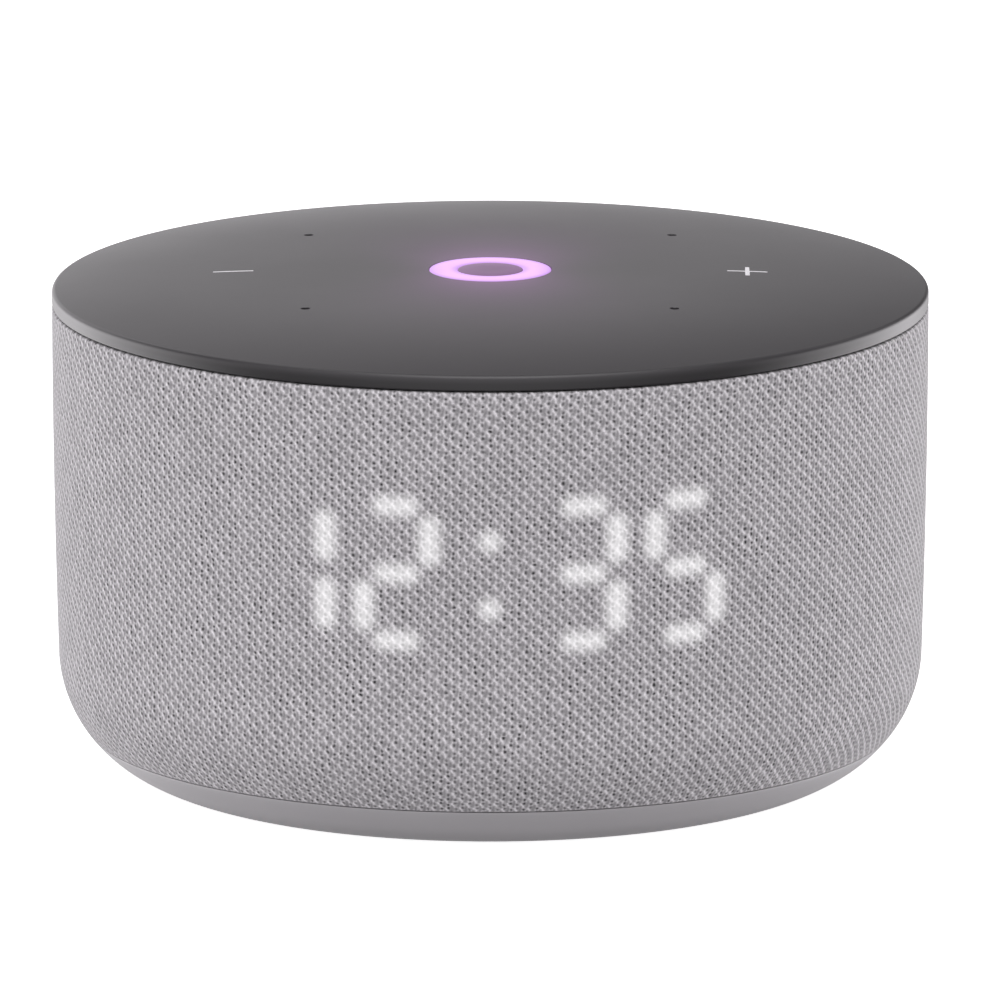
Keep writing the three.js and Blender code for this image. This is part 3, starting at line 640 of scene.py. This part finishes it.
def clock_light(g, angle, z):
    """How lit the knit is, from 0 to 1: the time 12:35 in seven-segment digits and a colon."""
    along = g.math("MULTIPLY", angle, BODY_R)
    above = g.math("SUBTRACT", z, CLOCK_Z)
    one, two, three, five = [BODY_R * a for a in DIGITS]
    step = BODY_R * COLUMN

    row = g.math("MINIMUM", g.math("ABSOLUTE", above),
                 g.math("ABSOLUTE", g.math("SUBTRACT", g.math("ABSOLUTE", above), ROW_PITCH)))
    bars = box_distance(g, nearest(g, along, [two, three, five]), row, BAR_LENGTH, BAR_WIDTH)

    upper = nearest(g, along, [one + step, two + step, three + step, five - step])
    lower = nearest(g, along, [one + step, two - step, three + step, five + step])
    is_upper = g.math("GREATER_THAN", above, 0.0)
    column = g.math("ADD", g.math("MULTIPLY", upper, is_upper),
                    g.math("MULTIPLY", lower, g.math("SUBTRACT", 1.0, is_upper)))
    half = g.math("ABSOLUTE", g.math("SUBTRACT", g.math("ABSOLUTE", above), ROW_PITCH / 2))
    posts = box_distance(g, column, half, POST_WIDTH, POST_LENGTH)

    colon_up = g.math("SUBTRACT", g.math("ABSOLUTE", above), COLON_DZ)
    colon = g.math("SUBTRACT", g.length(g.combine(along, colon_up)), COLON_R)

    return g.fade(g.least([bars, posts, colon]), -BLUR, BLUR, 1.0, 0.0)


class Knit:
    """The knit's own coordinates on the sleeve: wales round it and courses down it. Neighbouring wales
    are half a course apart."""

    def __init__(self, g, place):
        self.g = g
        x, y, z = g.split(place)
        self.angle = g.math("ARCTAN2", x, g.math("MULTIPLY", y, -1.0))
        radius = g.length(g.combine(x, y))
        below = g.math("MAXIMUM", g.math("SUBTRACT", ROUND_Z, z), 0.0)
        turn = g.math("ARCTAN2", below, g.math("SUBTRACT", radius, ROUND_CENTRE_R))
        straight = g.math("SUBTRACT", RIM_Z, g.math("MAXIMUM", z, ROUND_Z))
        drop = g.math("MULTIPLY_ADD", turn, ROUND_R, straight)
        waver = g.spread(g.noise(place, 2.4 * MM, 3), -0.45, 0.45)
        slip = g.spread(g.noise(g.vector("ADD", place, (1.0, 0.0, 0.0)).outputs[0], 2.0 * MM, 3), -0.22, 0.22)
        self.wales = g.math("MULTIPLY_ADD", self.angle, WALES / (2 * math.pi), waver)
        self.courses = g.math("MULTIPLY_ADD", drop, 1 / COURSE_H, slip)

    def stitch(self, middle):
        """The nearest stitch round a point of the cell: its number, and the way to it in metres."""
        g = self.g
        wale = g.math("SUBTRACT", self.wales, middle[0])
        column = g.math("ROUND", wale)
        odd = g.math("FLOORED_MODULO", column, 2.0)
        course = g.math("SUBTRACT", g.math("MULTIPLY_ADD", odd, 0.5, self.courses), middle[1])
        row = g.math("ROUND", course)
        across = g.math("MULTIPLY", g.math("SUBTRACT", wale, column), WALE_W)
        down = g.math("MULTIPLY", g.math("SUBTRACT", course, row), COURSE_H)
        return g.combine(column, row), g.combine(across, down)

    def stroke(self, points, core, edge):
        """1 along a line through some points of the cell, fading to 0 at its edge."""
        g = self.g
        middle = ((points[0][0] + points[-1][0]) / 2, (points[0][1] + points[-1][1]) / 2)
        number, way = self.stitch(middle)
        gaps = []
        for start, end in zip(points, points[1:]):
            start, end = ((np.array(p) - middle) * (WALE_W, COURSE_H) for p in (start, end))
            run = end - start
            offset = g.vector("SUBTRACT", way, (*start, 0.0)).outputs[0]
            dot = g.vector("DOT_PRODUCT", offset, (*(run / run.dot(run)), 0.0)).outputs["Value"]
            along = g.math("MULTIPLY", dot, 1.0, clamp=True)
            gap = g.vector("SUBTRACT", offset, g.scaled((*run, 0.0), along)).outputs[0]
            gaps.append(g.length(gap))
        return number, g.fade(g.least(gaps), core, edge, 1.0, 0.0)


def knit_material():
    """Light grey warp knit: in each cell a raised yarn, partly brightened by painted highlight, and two holes
    and a slanting furrow, partly darkened by painted shade.
    """
    g = Graph("knit_grey_warp")
    place = g.place()
    _, y, z = g.split(place)
    knit = Knit(g, place)
    number, yarn = knit.stroke([(-0.36, 0.13), (-0.24, 0.29), (-0.19, 0.43)], 0.0, 0.31 * MM)
    _, big_hole = knit.stroke([(0.0, 0.06), (0.0, 0.09)], 0.01 * MM, 0.36 * MM)
    _, small_hole = knit.stroke([(0.0, -0.275), (0.0, -0.25)], 0.02 * MM, 0.33 * MM)
    _, furrow = knit.stroke([(0.574, -0.07), (0.363, 0.38)], 0.01 * MM, 0.34 * MM)
    _, bridge = knit.stroke([(-0.03, -0.14), (-0.02, -0.13)], 0.13 * MM, 0.38 * MM)

    chance = g.chance(number)
    other = g.chance(g.vector("ADD", number, (0.0, 0.0, 7.0)).outputs[0])
    patch = g.noise(place, 5 * MM, 3)
    fibre = g.noise(place, 0.24 * MM, 3, 0.7)
    openness = g.math("MULTIPLY", g.spread(patch, 0.7, 1.25), g.spread(chance, 0.75, 1.2))
    holes = g.math("MULTIPLY", big_hole, openness)
    small_holes = g.math("MULTIPLY", small_hole, openness)
    raised = g.math("MULTIPLY", yarn, g.spread(other, 1.25, 0.75))

    # the yarn and the bridge between the holes are lighter, partly as painted highlight; the holes and the
    # furrow are darker, partly as painted shade
    level = g.math("MULTIPLY_ADD", raised, KNIT_YARN_AND_HIGHLIGHT, 1.1)
    level = g.math("MULTIPLY", level, g.math("MULTIPLY_ADD", bridge, 0.33, 1.0))
    for dark, depth in ((holes, KNIT_HOLE_AND_SHADE), (small_holes, KNIT_HOLE_AND_SHADE), (furrow, KNIT_FURROW_AND_SHADE)):
        level = g.math("MULTIPLY", level, g.math("MULTIPLY_ADD", dark, -depth, 1.0))
    for variation in (g.spread(fibre, 0.45, 1.55), g.spread(other, 0.92, 1.08), g.spread(patch, 0.86, 1.14)):
        level = g.math("MULTIPLY", level, variation)
    level = g.math("MAXIMUM", level, 0.05)

    height = g.math("MULTIPLY_ADD", raised, 0.45, 0.5)
    height = g.math("MULTIPLY_ADD", g.math("MAXIMUM", holes, small_holes), -0.45, height)
    height = g.math("MULTIPLY_ADD", furrow, -0.2, height)
    height = g.math("MULTIPLY_ADD", fibre, 0.1, height)

    lit = g.math("MULTIPLY", clock_light(g, knit.angle, z), g.math("LESS_THAN", y, 0.0))
    dimmed = g.math("MULTIPLY_ADD", lit, -0.6, 1.0)
    weave_light = g.math("MULTIPLY_ADD", level, 0.10, 0.55)
    g.set(
        Base_Color=g.tint(KNIT_COLOUR, g.math("MULTIPLY", level, dimmed)),
        Roughness=g.spread(fibre, 0.82, 0.98),
        Specular_IOR_Level=0.25,
        Sheen_Weight=0.30,
        Sheen_Roughness=0.35,
        Normal=g.bump(height, 0.06 * MM),
        Emission_Color=g.tint((1.0, 0.985, 1.0), g.math("MULTIPLY", lit, weave_light)),
        Emission_Strength=1.0,
    )
    return g.material


def base_material():
    """Smooth grey plastic, as moulded, with a fine matt texture and painted shade low down by the floor."""
    g = Graph("base_grey_satin")
    place = g.place()
    fine = g.noise(place, 0.14 * MM, 2)
    cloud = g.noise(place, 11 * MM, 4)
    # painted shade: towards the underside the colour darkens, down to 0.55 at the floor
    foot = g.fade(g.split(place)[2], UNDERSIDE_Z, UNDERSIDE_Z + 3.4 * MM, 0.55, 1.0)
    level = g.math("MULTIPLY", g.spread(cloud, 0.96, 1.04), g.spread(fine, 0.97, 1.03))
    g.set(
        Base_Color=g.tint(BASE_COLOUR, g.math("MULTIPLY", level, foot)),
        Roughness=g.math("ADD", g.spread(cloud, 0.44, 0.5), g.spread(fine, -0.03, 0.03)),
        Normal=g.bump(fine, 0.004 * MM),
    )
    return g.material


def make_materials():
    """One material for each of the record's slots."""
    return {
        "top_dark": touch_top_material(),
        "ring_glow": ring_material(),
        "mark_white": mark_material(),
        "knit_grey": knit_material(),
        "base_grey": base_material(),
        "shell_grey": moulded("shell_grey_matt", (0.19, 0.185, 0.192), 0.55),
        "diffuser_white": moulded("diffuser_opal", (0.86, 0.86, 0.85), 0.4, uneven=0.03),
        "light_box_white": moulded("light_box_white_matt", (0.8, 0.8, 0.78), 0.6, uneven=0.03),
        "black_plastic": moulded("black_plastic_grained", (0.013, 0.013, 0.014), 0.55, 0.2 * MM, 0.02 * MM),
        "black_rubber": moulded("black_rubber_matt", (0.016, 0.016, 0.017), 0.8, 0.3 * MM, 0.015 * MM, 0.12),
        "board_green": circuit_board("solder_mask_board"),
        "tinned_steel": metal("tinned_steel_sheet", (0.62, 0.63, 0.64), 0.32),
        "zinc_steel": metal("zinc_plated_steel", (0.46, 0.48, 0.5), 0.3, (1, 1, 1), 0.4 * MM),
        "aluminium": metal("aluminium_rolled", (0.68, 0.69, 0.7), 0.35, (14, 1, 1)),
        "ferrite": moulded("ferrite_sintered", (0.035, 0.034, 0.036), 0.5, 0.35 * MM, 0.03 * MM, 0.15),
        "copper": winding("copper_winding"),
        "paper_black": moulded("paper_pulp_black", (0.022, 0.022, 0.024), 0.75, 0.4 * MM, 0.05 * MM, 0.2),
        "spider_amber": treated_cloth("spider_cloth", (0.5, 0.27, 0.08)),
        "thermal_grey": moulded("thermal_pad_silicone", (0.27, 0.36, 0.46), 0.7, 0.25 * MM, 0.02 * MM),
        "flex_amber": moulded("flex_polyimide", (0.5, 0.19, 0.03), 0.25, 0.5 * MM, 0.002 * MM),
    }


def paint_frame(materials):
    """Gives every CAD node the material of its slot in the record."""
    for row in frame["record"]["subparts"]:
        node = frame["nodes"][row["node"]]
        node.data.materials.clear()
        node.data.materials.append(materials[row["material_slot"]])
        smooth(node, 25)


# ------------------------------------------------------------------ touch top


def mark_outlines(grow):
    """The minus mark's bar and the plus mark's two bars, each as a flat outline."""
    length, upright = MARK_LENGTH + 2 * grow, MARK_WIDTH + 2 * grow
    level = 0.75 * MARK_WIDTH + 2 * grow
    corner = 0.12 * MM
    minus = [rounded_box(length, level, corner, -MARK_X)]
    plus = [rounded_box(length, level, corner, MARK_X), rounded_box(upright, length, corner, MARK_X)]
    return minus, plus


def top_cover(material):
    """The domed top and its band, with holes for the ring and microphones and slots for the marks."""
    edge = 0.5 * MM
    foot_edge = 0.2 * MM
    hole_r = RING_OUT_R + 0.08 * MM
    lip_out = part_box("grille_shell")[1].x - 2.2 * MM
    lip_in = lip_out - 1.4 * MM
    lip_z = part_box("top_cover")[0].z
    wall = 1.8 * MM
    tilt = math.atan(-dome_slope(BODY_R - edge))
    touch_r = BODY_R - edge + edge * math.sin(tilt)
    centre_z = dome_z(touch_r) - edge * math.cos(tilt)
    dome_steps = 60
    radii = [lerp(hole_r, touch_r, i / dome_steps) for i in range(dome_steps)]
    outline = [(r, dome_z(r)) for r in radii]
    outline += arc(BODY_R - edge, centre_z, edge, 90 - math.degrees(tilt), 0, 10)
    outline += arc(BODY_R - foot_edge, BAND_Z + foot_edge, foot_edge, 0, -90, 5)
    outline += [(lip_out, BAND_Z), (lip_out, lip_z), (lip_in, lip_z)]
    outline += [(r, dome_z(r) - wall) for r in (lip_in, 36 * MM, 20 * MM, hole_r)]
    cover = lathe("top_cover_moulding", outline)

    above = TOP_Z + 2 * MM
    surface = dome_z(math.hypot(MIC_XY, MIC_XY))
    mesh_z = surface - 1.3 * MM
    mouth_r = MIC_HOLE_R + 0.1 * MM
    hole_outline = [
        (0, mesh_z), (MIC_HOLE_R, mesh_z), (MIC_HOLE_R, surface - 0.06 * MM),
        (mouth_r, surface + 0.04 * MM), (mouth_r, above), (0, above),
    ]
    tools = []
    for sx, sy in [(-1, -1), (1, -1), (-1, 1), (1, 1)]:
        hole = lathe("mic_hole", hole_outline, 40, closed=False)
        hole.data.transform(Matrix.Translation((sx * MIC_XY, sy * MIC_XY, 0)))
        tools.append(hole)
    floor_z = TOP_Z - 0.9 * MM
    for outlines in mark_outlines(0.03 * MM):
        tools += [prism("slot", outline, floor_z, above) for outline in outlines]
    carve(cover, *tools)
    smooth(cover)
    dome_normals(cover, touch_r - 0.1 * MM)
    finish_piece(cover, material, "housing", "top_dark", "top_cover")


def marks(material):
    """Inlays whose tops follow the dome, a hair above it."""
    proud = 0.01 * MM
    floor_z = TOP_Z - 0.85 * MM
    dome_steps = 80
    radii = [lerp(0, 0.8 * BODY_R, i / dome_steps) for i in range(dome_steps + 1)]
    dome_outline = [(0, BAND_Z), (radii[-1], BAND_Z)] + [(r, dome_z(r) + proud) for r in reversed(radii)]
    for outlines, node in zip(mark_outlines(0), ["volume_down_mark", "volume_up_mark"]):
        inlay, *bars = [prism(node, outline, floor_z, TOP_Z + MM) for outline in outlines]
        carve(inlay, *bars, operation="UNION")
        carve(inlay, lathe("dome", dome_outline, 96, closed=False), operation="INTERSECT")
        smooth(inlay)
        inlay.name = node + "_inlay"
        finish_piece(inlay, material, "housing", "mark_white", node)


def ring_light(lens_material, centre_material):
    """The round light pipe, and the dark disc that sits in its middle."""
    edge = 0.12 * MM
    low_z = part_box("ring_lens")[0].z
    web_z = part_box("ring_centre_disc")[0].z - 0.1 * MM
    lens = lathe("ring_lens_lit", [
        (0, low_z), (RING_OUT_R, low_z), *arc(RING_OUT_R - edge, TOP_Z - edge, edge, 0, 90, 5),
        *arc(RING_IN_R + edge, TOP_Z - edge, edge, 90, 180, 5), (RING_IN_R, web_z), (0, web_z),
    ], 128, closed=False)
    finish_piece(smooth(lens), lens_material, "housing", "ring_glow", "ring_lens")
    disc_r = RING_IN_R - 0.04 * MM
    disc = lathe("ring_disc_moulding", [
        (0, web_z + 0.1 * MM), (disc_r, web_z + 0.1 * MM),
        *arc(disc_r - edge, TOP_Z - edge, edge, 0, 90, 5), (disc_r * 0.5, TOP_Z), (0, TOP_Z),
    ], 96, closed=False)
    finish_piece(smooth(disc), centre_material, "housing", "top_dark", "ring_centre_disc")


# ------------------------------------------------------------------ fabric and base


def fabric_sleeve(material):
    """A knitted tube with folded hems at its top and bottom and an opening cut for the rear ports."""
    cloth = 0.8 * MM
    hem = 0.34 * MM
    top_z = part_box("fabric_sleeve")[1].z + 0.12 * MM
    bottom_z = SEAM_Z - 0.05 * MM
    outside = wall_line(0, top_z - hem, bottom_z + hem * 0.45, 40, 30)
    inside = wall_line(cloth, top_z - hem, bottom_z + hem * 0.45, 20, 12)
    (top_out, top_out_z), (top_in, _) = outside[0], inside[0]
    (low_out, low_out_z), (low_in, low_in_z) = outside[-1], inside[-1]
    top_fold = arc(top_in + hem, top_out_z, hem, 180, 90, 5)
    top_fold += arc(top_out - hem, top_out_z, hem, 90, 0, 5)[:-1]
    fold_x, fold_z = (low_out + low_in) / 2, (low_out_z + low_in_z) / 2 - hem * 0.3
    sleeve = lathe("fabric_sleeve_knit", outside + [(fold_x, fold_z)] + inside[::-1] + top_fold[1:])

    port_z = centre_of("rear_port_bezel").z
    window = prism("window", rounded_box(PORT_W + 0.4 * MM, PORT_H + 0.4 * MM, 1.5 * MM, 0, port_z),
                   BODY_R - 9 * MM, BODY_R + 9 * MM, axis="Y")
    carve(sleeve, window)
    smooth(sleeve, 50)
    finish_piece(sleeve, material, "housing", "knit_grey", "fabric_sleeve")


def base_cover(material):
    """The base shell, with a groove for the foot ring and three counterbored screw bosses."""
    edge = 0.12 * MM
    wall = 2.0 * MM
    foot_in, foot_out = FOOT_IN_R - 0.15 * MM, FOOT_OUT_R + 0.15 * MM
    groove_z = UNDERSIDE_Z + 0.8 * MM
    rim_z = SEAM_Z - 0.03 * MM
    start = math.degrees(math.asin((ROUND_Z - rim_z + edge) / ROUND_R))
    outside = arc(ROUND_CENTRE_R, ROUND_Z, ROUND_R, -90, -start, 26)
    rim_r = outside[-1][0]
    inner_start = math.degrees(math.asin((ROUND_Z - rim_z) / (ROUND_R - wall)))
    inside = arc(ROUND_CENTRE_R, ROUND_Z, ROUND_R - wall, -inner_start, -90, 10)
    floor_z = UNDERSIDE_Z + wall
    lead = 0.15 * MM
    outline = [
        (0, UNDERSIDE_Z), (foot_in - lead, UNDERSIDE_Z), (foot_in, UNDERSIDE_Z + lead), (foot_in, groove_z),
        (foot_out, groove_z), (foot_out, UNDERSIDE_Z + lead), (foot_out + lead, UNDERSIDE_Z),
        *outside, (rim_r + 0.04 * MM, rim_z - 0.03 * MM), (rim_r - 0.06 * MM, rim_z),
        *inside, (0, floor_z),
    ]
    cover = lathe("base_cover_moulding", outline, closed=False)
    boss_r, seat_r, hole_r = 3.8 * MM, 2.9 * MM, 1.5 * MM
    boss_top, seat_top = 6.0 * MM, 3.4 * MM
    for i in (1, 2, 3):
        low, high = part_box(f"base_screw_{i}")
        x, y = (low.x + high.x) / 2, (low.y + high.y) / 2
        boss = prism("boss", circle(boss_r, x, y), floor_z - 0.4 * MM, boss_top)
        carve(cover, boss, operation="UNION")
        seat = prism("seat", circle(seat_r, x, y), -MM, seat_top)
        hole = prism("hole", circle(hole_r, x, y), -MM, boss_top + MM)
        carve(cover, seat, hole)
    finish_piece(smooth(cover), material, "housing", "base_grey", "base_cover")


def foot_ring(material):
    """A flat rubber ring with rounded edges and a shallow groove along its middle."""
    top_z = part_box("foot_ring")[1].z
    edge = 0.25 * MM
    middle = (FOOT_IN_R + FOOT_OUT_R) / 2
    groove = 0.6 * MM
    outline = [
        (FOOT_IN_R, top_z), *arc(FOOT_IN_R + edge, edge, edge, 180, 270, 5),
        *arc(middle, -groove * 0.6, groove, 143, 37, 8),
        *arc(FOOT_OUT_R - edge, edge, edge, 270, 360, 5), (FOOT_OUT_R, top_z),
    ]
    ring = lathe("foot_ring_rubber", outline)
    finish_piece(smooth(ring), material, "housing", "black_rubber", "foot_ring")


# ------------------------------------------------------------------ rear ports


def slot_outline(width, height, x, z):
    """Outline of a slot with half-round ends."""
    return rounded_box(width, height, height / 2 - 0.001 * MM, x, z, 12)


def port_bezel(material):
    """A panel that follows the side, with its corners rounded and its openings chamfered."""
    port_z = centre_of("usb_c_inlet").z
    usb_x = centre_of("usb_c_inlet").x
    jack_x = centre_of("audio_jack").x
    switch_x = centre_of("mute_switch_body").x
    inside, outside = BODY_R - 9 * MM, BODY_R + 5 * MM
    panel = prism("port_bezel_panel", rounded_box(PORT_W, PORT_H, 1.3 * MM, 0, port_z), inside, outside, "Y")
    shell_top, shell_bottom = 38 * MM, 17 * MM
    shell = lathe("shell", wall_line(0.02 * MM, shell_top, shell_bottom, 16, 1)
                  + wall_line(4.4 * MM, shell_top, shell_bottom, 4, 1)[::-1], 360)
    carve(panel, shell, operation="INTERSECT")
    usb = prism("usb_slot", slot_outline(9.5 * MM, 3.8 * MM, usb_x, port_z), inside, outside, "Y")
    jack = prism("jack_hole", circle(3.25 * MM, jack_x, port_z), inside, outside, "Y")
    slide_outline = rounded_box(6.6 * MM, 3.0 * MM, 0.4 * MM, switch_x, port_z, 4)
    slide = prism("slide_slot", slide_outline, inside, outside, "Y")
    carve(panel, usb, jack, slide)
    soften(panel, 0.18 * MM)
    finish_piece(smooth(panel), material, "housing", "shell_grey", "rear_port_bezel")


def usb_inlet(shell_material, tongue_material, contact_material):
    """A drawn steel shell with a tongue in it, and a row of contacts on each side of the tongue."""
    centre = centre_of("usb_c_inlet")
    low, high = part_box("usb_c_inlet")
    back, mouth = low.y, high.y
    width, height, wall = 8.94 * MM, 3.26 * MM, 0.3 * MM
    shell = prism("usb_shell", slot_outline(width, height, centre.x, centre.z), back, mouth, "Y")
    bore_outline = slot_outline(width - 2 * wall, height - 2 * wall, centre.x, centre.z)
    bore = prism("bore", bore_outline, back + 1.2 * MM, mouth + MM, "Y")
    carve(shell, bore)
    soften(shell, 0.06 * MM)
    smooth(shell)
    tongue = prism("usb_tongue", rounded_box(6.7 * MM, 0.7 * MM, 0.15 * MM, centre.x, centre.z, 4),
                   back + 1.2 * MM, mouth - 0.8 * MM, "Y")
    soften(tongue, 0.08 * MM)
    smooth(tongue)
    pads = []
    pad_count, pad_pitch = 12, 0.5 * MM
    for side in (-1, 1):
        for i in range(pad_count):
            x = centre.x + (i - (pad_count - 1) / 2) * pad_pitch
            z = centre.z + side * 0.36 * MM
            pads.append(prism("pad", rounded_box(0.28 * MM, 0.05 * MM, 0.02 * MM, x, z, 2),
                              back + 3 * MM, mouth - 1.2 * MM, "Y"))
    contacts = join(*pads)
    contacts.name = "usb_contacts"
    finish_piece(shell, shell_material, "housing", "tinned_steel", "usb_c_inlet")
    finish_piece(tongue, tongue_material, "housing", "black_plastic")
    finish_piece(contacts, contact_material, "housing", "copper")


def audio_jack(material, contact_material):
    """A 3.5 mm socket: a square body with a round nose, and the metal collar in its bore."""
    centre = centre_of("audio_jack")
    low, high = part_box("audio_jack")
    body = prism("audio_jack_body", rounded_box(6.4 * MM, 6.0 * MM, 0.4 * MM, centre.x, centre.z, 4),
                 low.y, low.y + 3.2 * MM, "Y")
    nose = prism("nose", circle(2.95 * MM, centre.x, centre.z, 64), low.y + 3.0 * MM, high.y, "Y")
    carve(body, nose, operation="UNION")
    bore = prism("bore", circle(1.8 * MM, centre.x, centre.z), low.y + 1.5 * MM, high.y + MM, "Y")
    carve(body, bore)
    soften(body, 0.15 * MM)
    finish_piece(smooth(body), material, "housing", "black_plastic", "audio_jack")
    collar = prism("audio_jack_collar", circle(1.78 * MM, centre.x, centre.z),
                   high.y - 2.2 * MM, high.y - 0.7 * MM, "Y")
    carve(collar, prism("inner", circle(1.62 * MM, centre.x, centre.z), high.y - 3 * MM, high.y, "Y"))
    finish_piece(smooth(collar), contact_material, "housing", "tinned_steel")


def mute_slider(material):
    """A ribbed knob on a wider plate behind the bezel."""
    low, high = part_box("mute_slider")
    centre = centre_of("mute_slider")
    knob_w, knob_h, knob_depth = 4.0 * MM, 2.4 * MM, 5.5 * MM
    knob = prism("mute_slider_knob", rounded_box(knob_w, knob_h, 0.3 * MM, centre.x, centre.z, 4),
                 high.y - knob_depth, high.y, "Y")
    pitch, depth = 0.7 * MM, 0.4 * MM
    for i in (-2, -1, 0, 1, 2):
        outline = rounded_box(0.36 * MM, knob_h * 2, 0.1 * MM, centre.x + i * pitch, centre.z, 2)
        carve(knob, prism("groove", outline, high.y - depth, high.y + MM, "Y"))
    soften(knob, 0.07 * MM)
    plate = prism("plate", rounded_box(8.0 * MM, 4.6 * MM, 0.4 * MM, centre.x, centre.z, 4),
                  high.y - knob_depth - 0.6 * MM, high.y - knob_depth + 0.1 * MM, "Y")
    stem = prism("stem", rounded_box(1.4 * MM, 1.4 * MM, 0.2 * MM, centre.x, centre.z, 4),
                 low.y, high.y - knob_depth - 0.5 * MM, "Y")
    carve(knob, plate, operation="UNION")
    carve(knob, stem, operation="UNION")
    finish_piece(smooth(knob), material, "mute_slider", "top_dark", "mute_slider")


# ------------------------------------------------------------------ stage, lights and camera


def make_stage():
    """A plain white floor that neither shades nor lights the object."""
    width, corner, thick = 24.0, 4.0, 20 * MM
    floor = prism("floor", rounded_box(width, width, corner, steps=12), -thick, -0.2 * MM)
    g = Graph("floor_white")
    place = g.place()
    g.set(
        Base_Color=g.tint((0.86, 0.86, 0.86), g.spread(g.noise(place, 0.5), 0.995, 1.005)),
        Roughness=0.9,
        Specular_IOR_Level=0.0,
        Emission_Color=(1.0, 1.0, 1.0),
        Emission_Strength=0.85,
    )
    floor.data.materials.append(g.material)
    floor.visible_diffuse = False
    floor.visible_glossy = False
    floor.visible_shadow = False


def direction(azimuth, elevation):
    """The way out from the object; azimuth 0 is the camera's side and 90 is +X."""
    a, e = math.radians(azimuth), math.radians(elevation)
    return Vector((math.sin(a) * math.cos(e), -math.cos(a) * math.cos(e), math.sin(e)))


class Sky(Graph):
    """The same short calls, for the world's nodes."""

    def __init__(self, name):
        self.world = bpy.data.worlds.new(name)
        self.world.use_nodes = True
        self.tree = self.world.node_tree
        self.tree.nodes.clear()


def make_world():
    """White to the camera. To everything else it is a dark room with large round soft lights in it:
    azimuth, elevation, radius of the even middle and of the edge in degrees, and strength. The rim
    lights are turned down for matt surfaces, so that the object's back isn't bleached."""
    soft_lights = [
        (0, 20, 20, 80, 1.12),          # wide front light
        (-110, -14, 5, 45, 2.1),        # white table, left
        (115, -13, 5, 42, 2.9),         # white table, right
        (-170, -15, 5, 40, 0.75),       # white table, behind
        (0, -80, 10, 60, 0.15),         # white table, below
        (-166, 34, 5, 40, 0.29),        # wall behind
        (-80, 12, 5, 40, 0.35),         # wall on the left
    ]
    rim_lights = [
        (4, 60, 6, 32, 2.4),            # above the front, for the bright line along the cover's edge
        (-138, 43, 6, 30, 1.3),         # high, behind on the left, for the same line
        (138, 43, 6, 30, 0.6),          # high, behind on the right, for the same line
        (-152, 2, 5, 38, 0.88),         # behind on the left
        (-125, -14, 5, 35, 1.4),        # low, on the left
        (140, -14, 5, 30, 1.6),         # low, behind on the right
    ]
    rim_on_matt = 0.3
    g = Sky("studio")
    way = g.add("ShaderNodeTexCoord").outputs["Generated"]

    def glow(lights, total):
        for azimuth, elevation, middle, edge, strength in lights:
            facing = g.vector("DOT_PRODUCT", way, tuple(direction(azimuth, elevation))).outputs["Value"]
            start, full = math.cos(math.radians(edge)), math.cos(math.radians(middle))
            total = g.math("ADD", g.fade(facing, start, full, 0.0, strength), total)
        return total

    path = g.add("ShaderNodeLightPath").outputs
    rim = g.math("MULTIPLY", glow(rim_lights, 0.0), g.spread(path["Is Glossy Ray"], rim_on_matt, 1.0))
    total = g.math("ADD", glow(soft_lights, 0.03), rim)
    seen = path["Is Camera Ray"]
    room = g.add("ShaderNodeBackground")
    white = g.add("ShaderNodeBackground")
    either = g.add("ShaderNodeMixShader")
    g.put(room.inputs["Strength"], total)
    g.put(room.inputs["Color"], (1.0, 0.975, 1.0, 1.0))
    g.put(white.inputs["Color"], (1.0, 1.0, 1.0, 1.0))
    g.put(either.inputs[0], seen)
    g.put(either.inputs[1], room.outputs[0])
    g.put(either.inputs[2], white.outputs[0])
    g.put(g.add("ShaderNodeOutputWorld").inputs[0], either.outputs[0])
    bpy.context.scene.world = g.world


def make_overhead_light():
    """One large softbox above the object."""
    light = bpy.data.lights.new("overhead", "AREA")
    light.shape = "SQUARE"
    light.size = 1.2
    light.energy = 6.0
    lamp = bpy.data.objects.new("overhead", light)
    bpy.context.scene.collection.objects.link(lamp)
    away = direction(20, 86)
    lamp.location = (cad_box[0] + cad_box[1]) / 2 + away * 1.5
    lamp.rotation_mode = "QUATERNION"
    lamp.rotation_quaternion = (-away).to_track_quat("-Z", "Y")


def make_camera():
    """A long lens, a little above the object, looking straight at its front."""
    elevation = math.radians(12.145)
    distance = 2.635
    camera_data = bpy.data.cameras.new("camera")
    camera_data.sensor_width = 36.0
    camera_data.lens = 813.8
    camera_data.clip_end = 60.0
    camera = bpy.data.objects.new("camera", camera_data)
    bpy.context.scene.collection.objects.link(camera)
    aim = Vector((1.13 * MM, 0.0, 33.14 * MM))
    back = Vector((0.0, -math.cos(elevation), math.sin(elevation)))
    camera.location = aim + back * distance
    camera.rotation_mode = "QUATERNION"
    camera.rotation_quaternion = (-back).to_track_quat("-Z", "Y")
    bpy.context.scene.camera = camera


# ------------------------------------------------------------------ putting it together

materials = make_materials()
paint_frame(materials)
make_camera()
top_cover(materials["top_dark"])
marks(materials["mark_white"])
ring_light(materials["ring_glow"], disc_material())
fabric_sleeve(materials["knit_grey"])
base_cover(materials["base_grey"])
foot_ring(materials["black_rubber"])
port_bezel(materials["shell_grey"])
usb_inlet(materials["tinned_steel"], materials["black_plastic"], materials["copper"])
audio_jack(materials["black_plastic"], materials["tinned_steel"])
mute_slider(materials["top_dark"])
make_stage()
make_world()
make_overhead_light()

scene = bpy.context.scene
scene.view_settings.view_transform = "Standard"
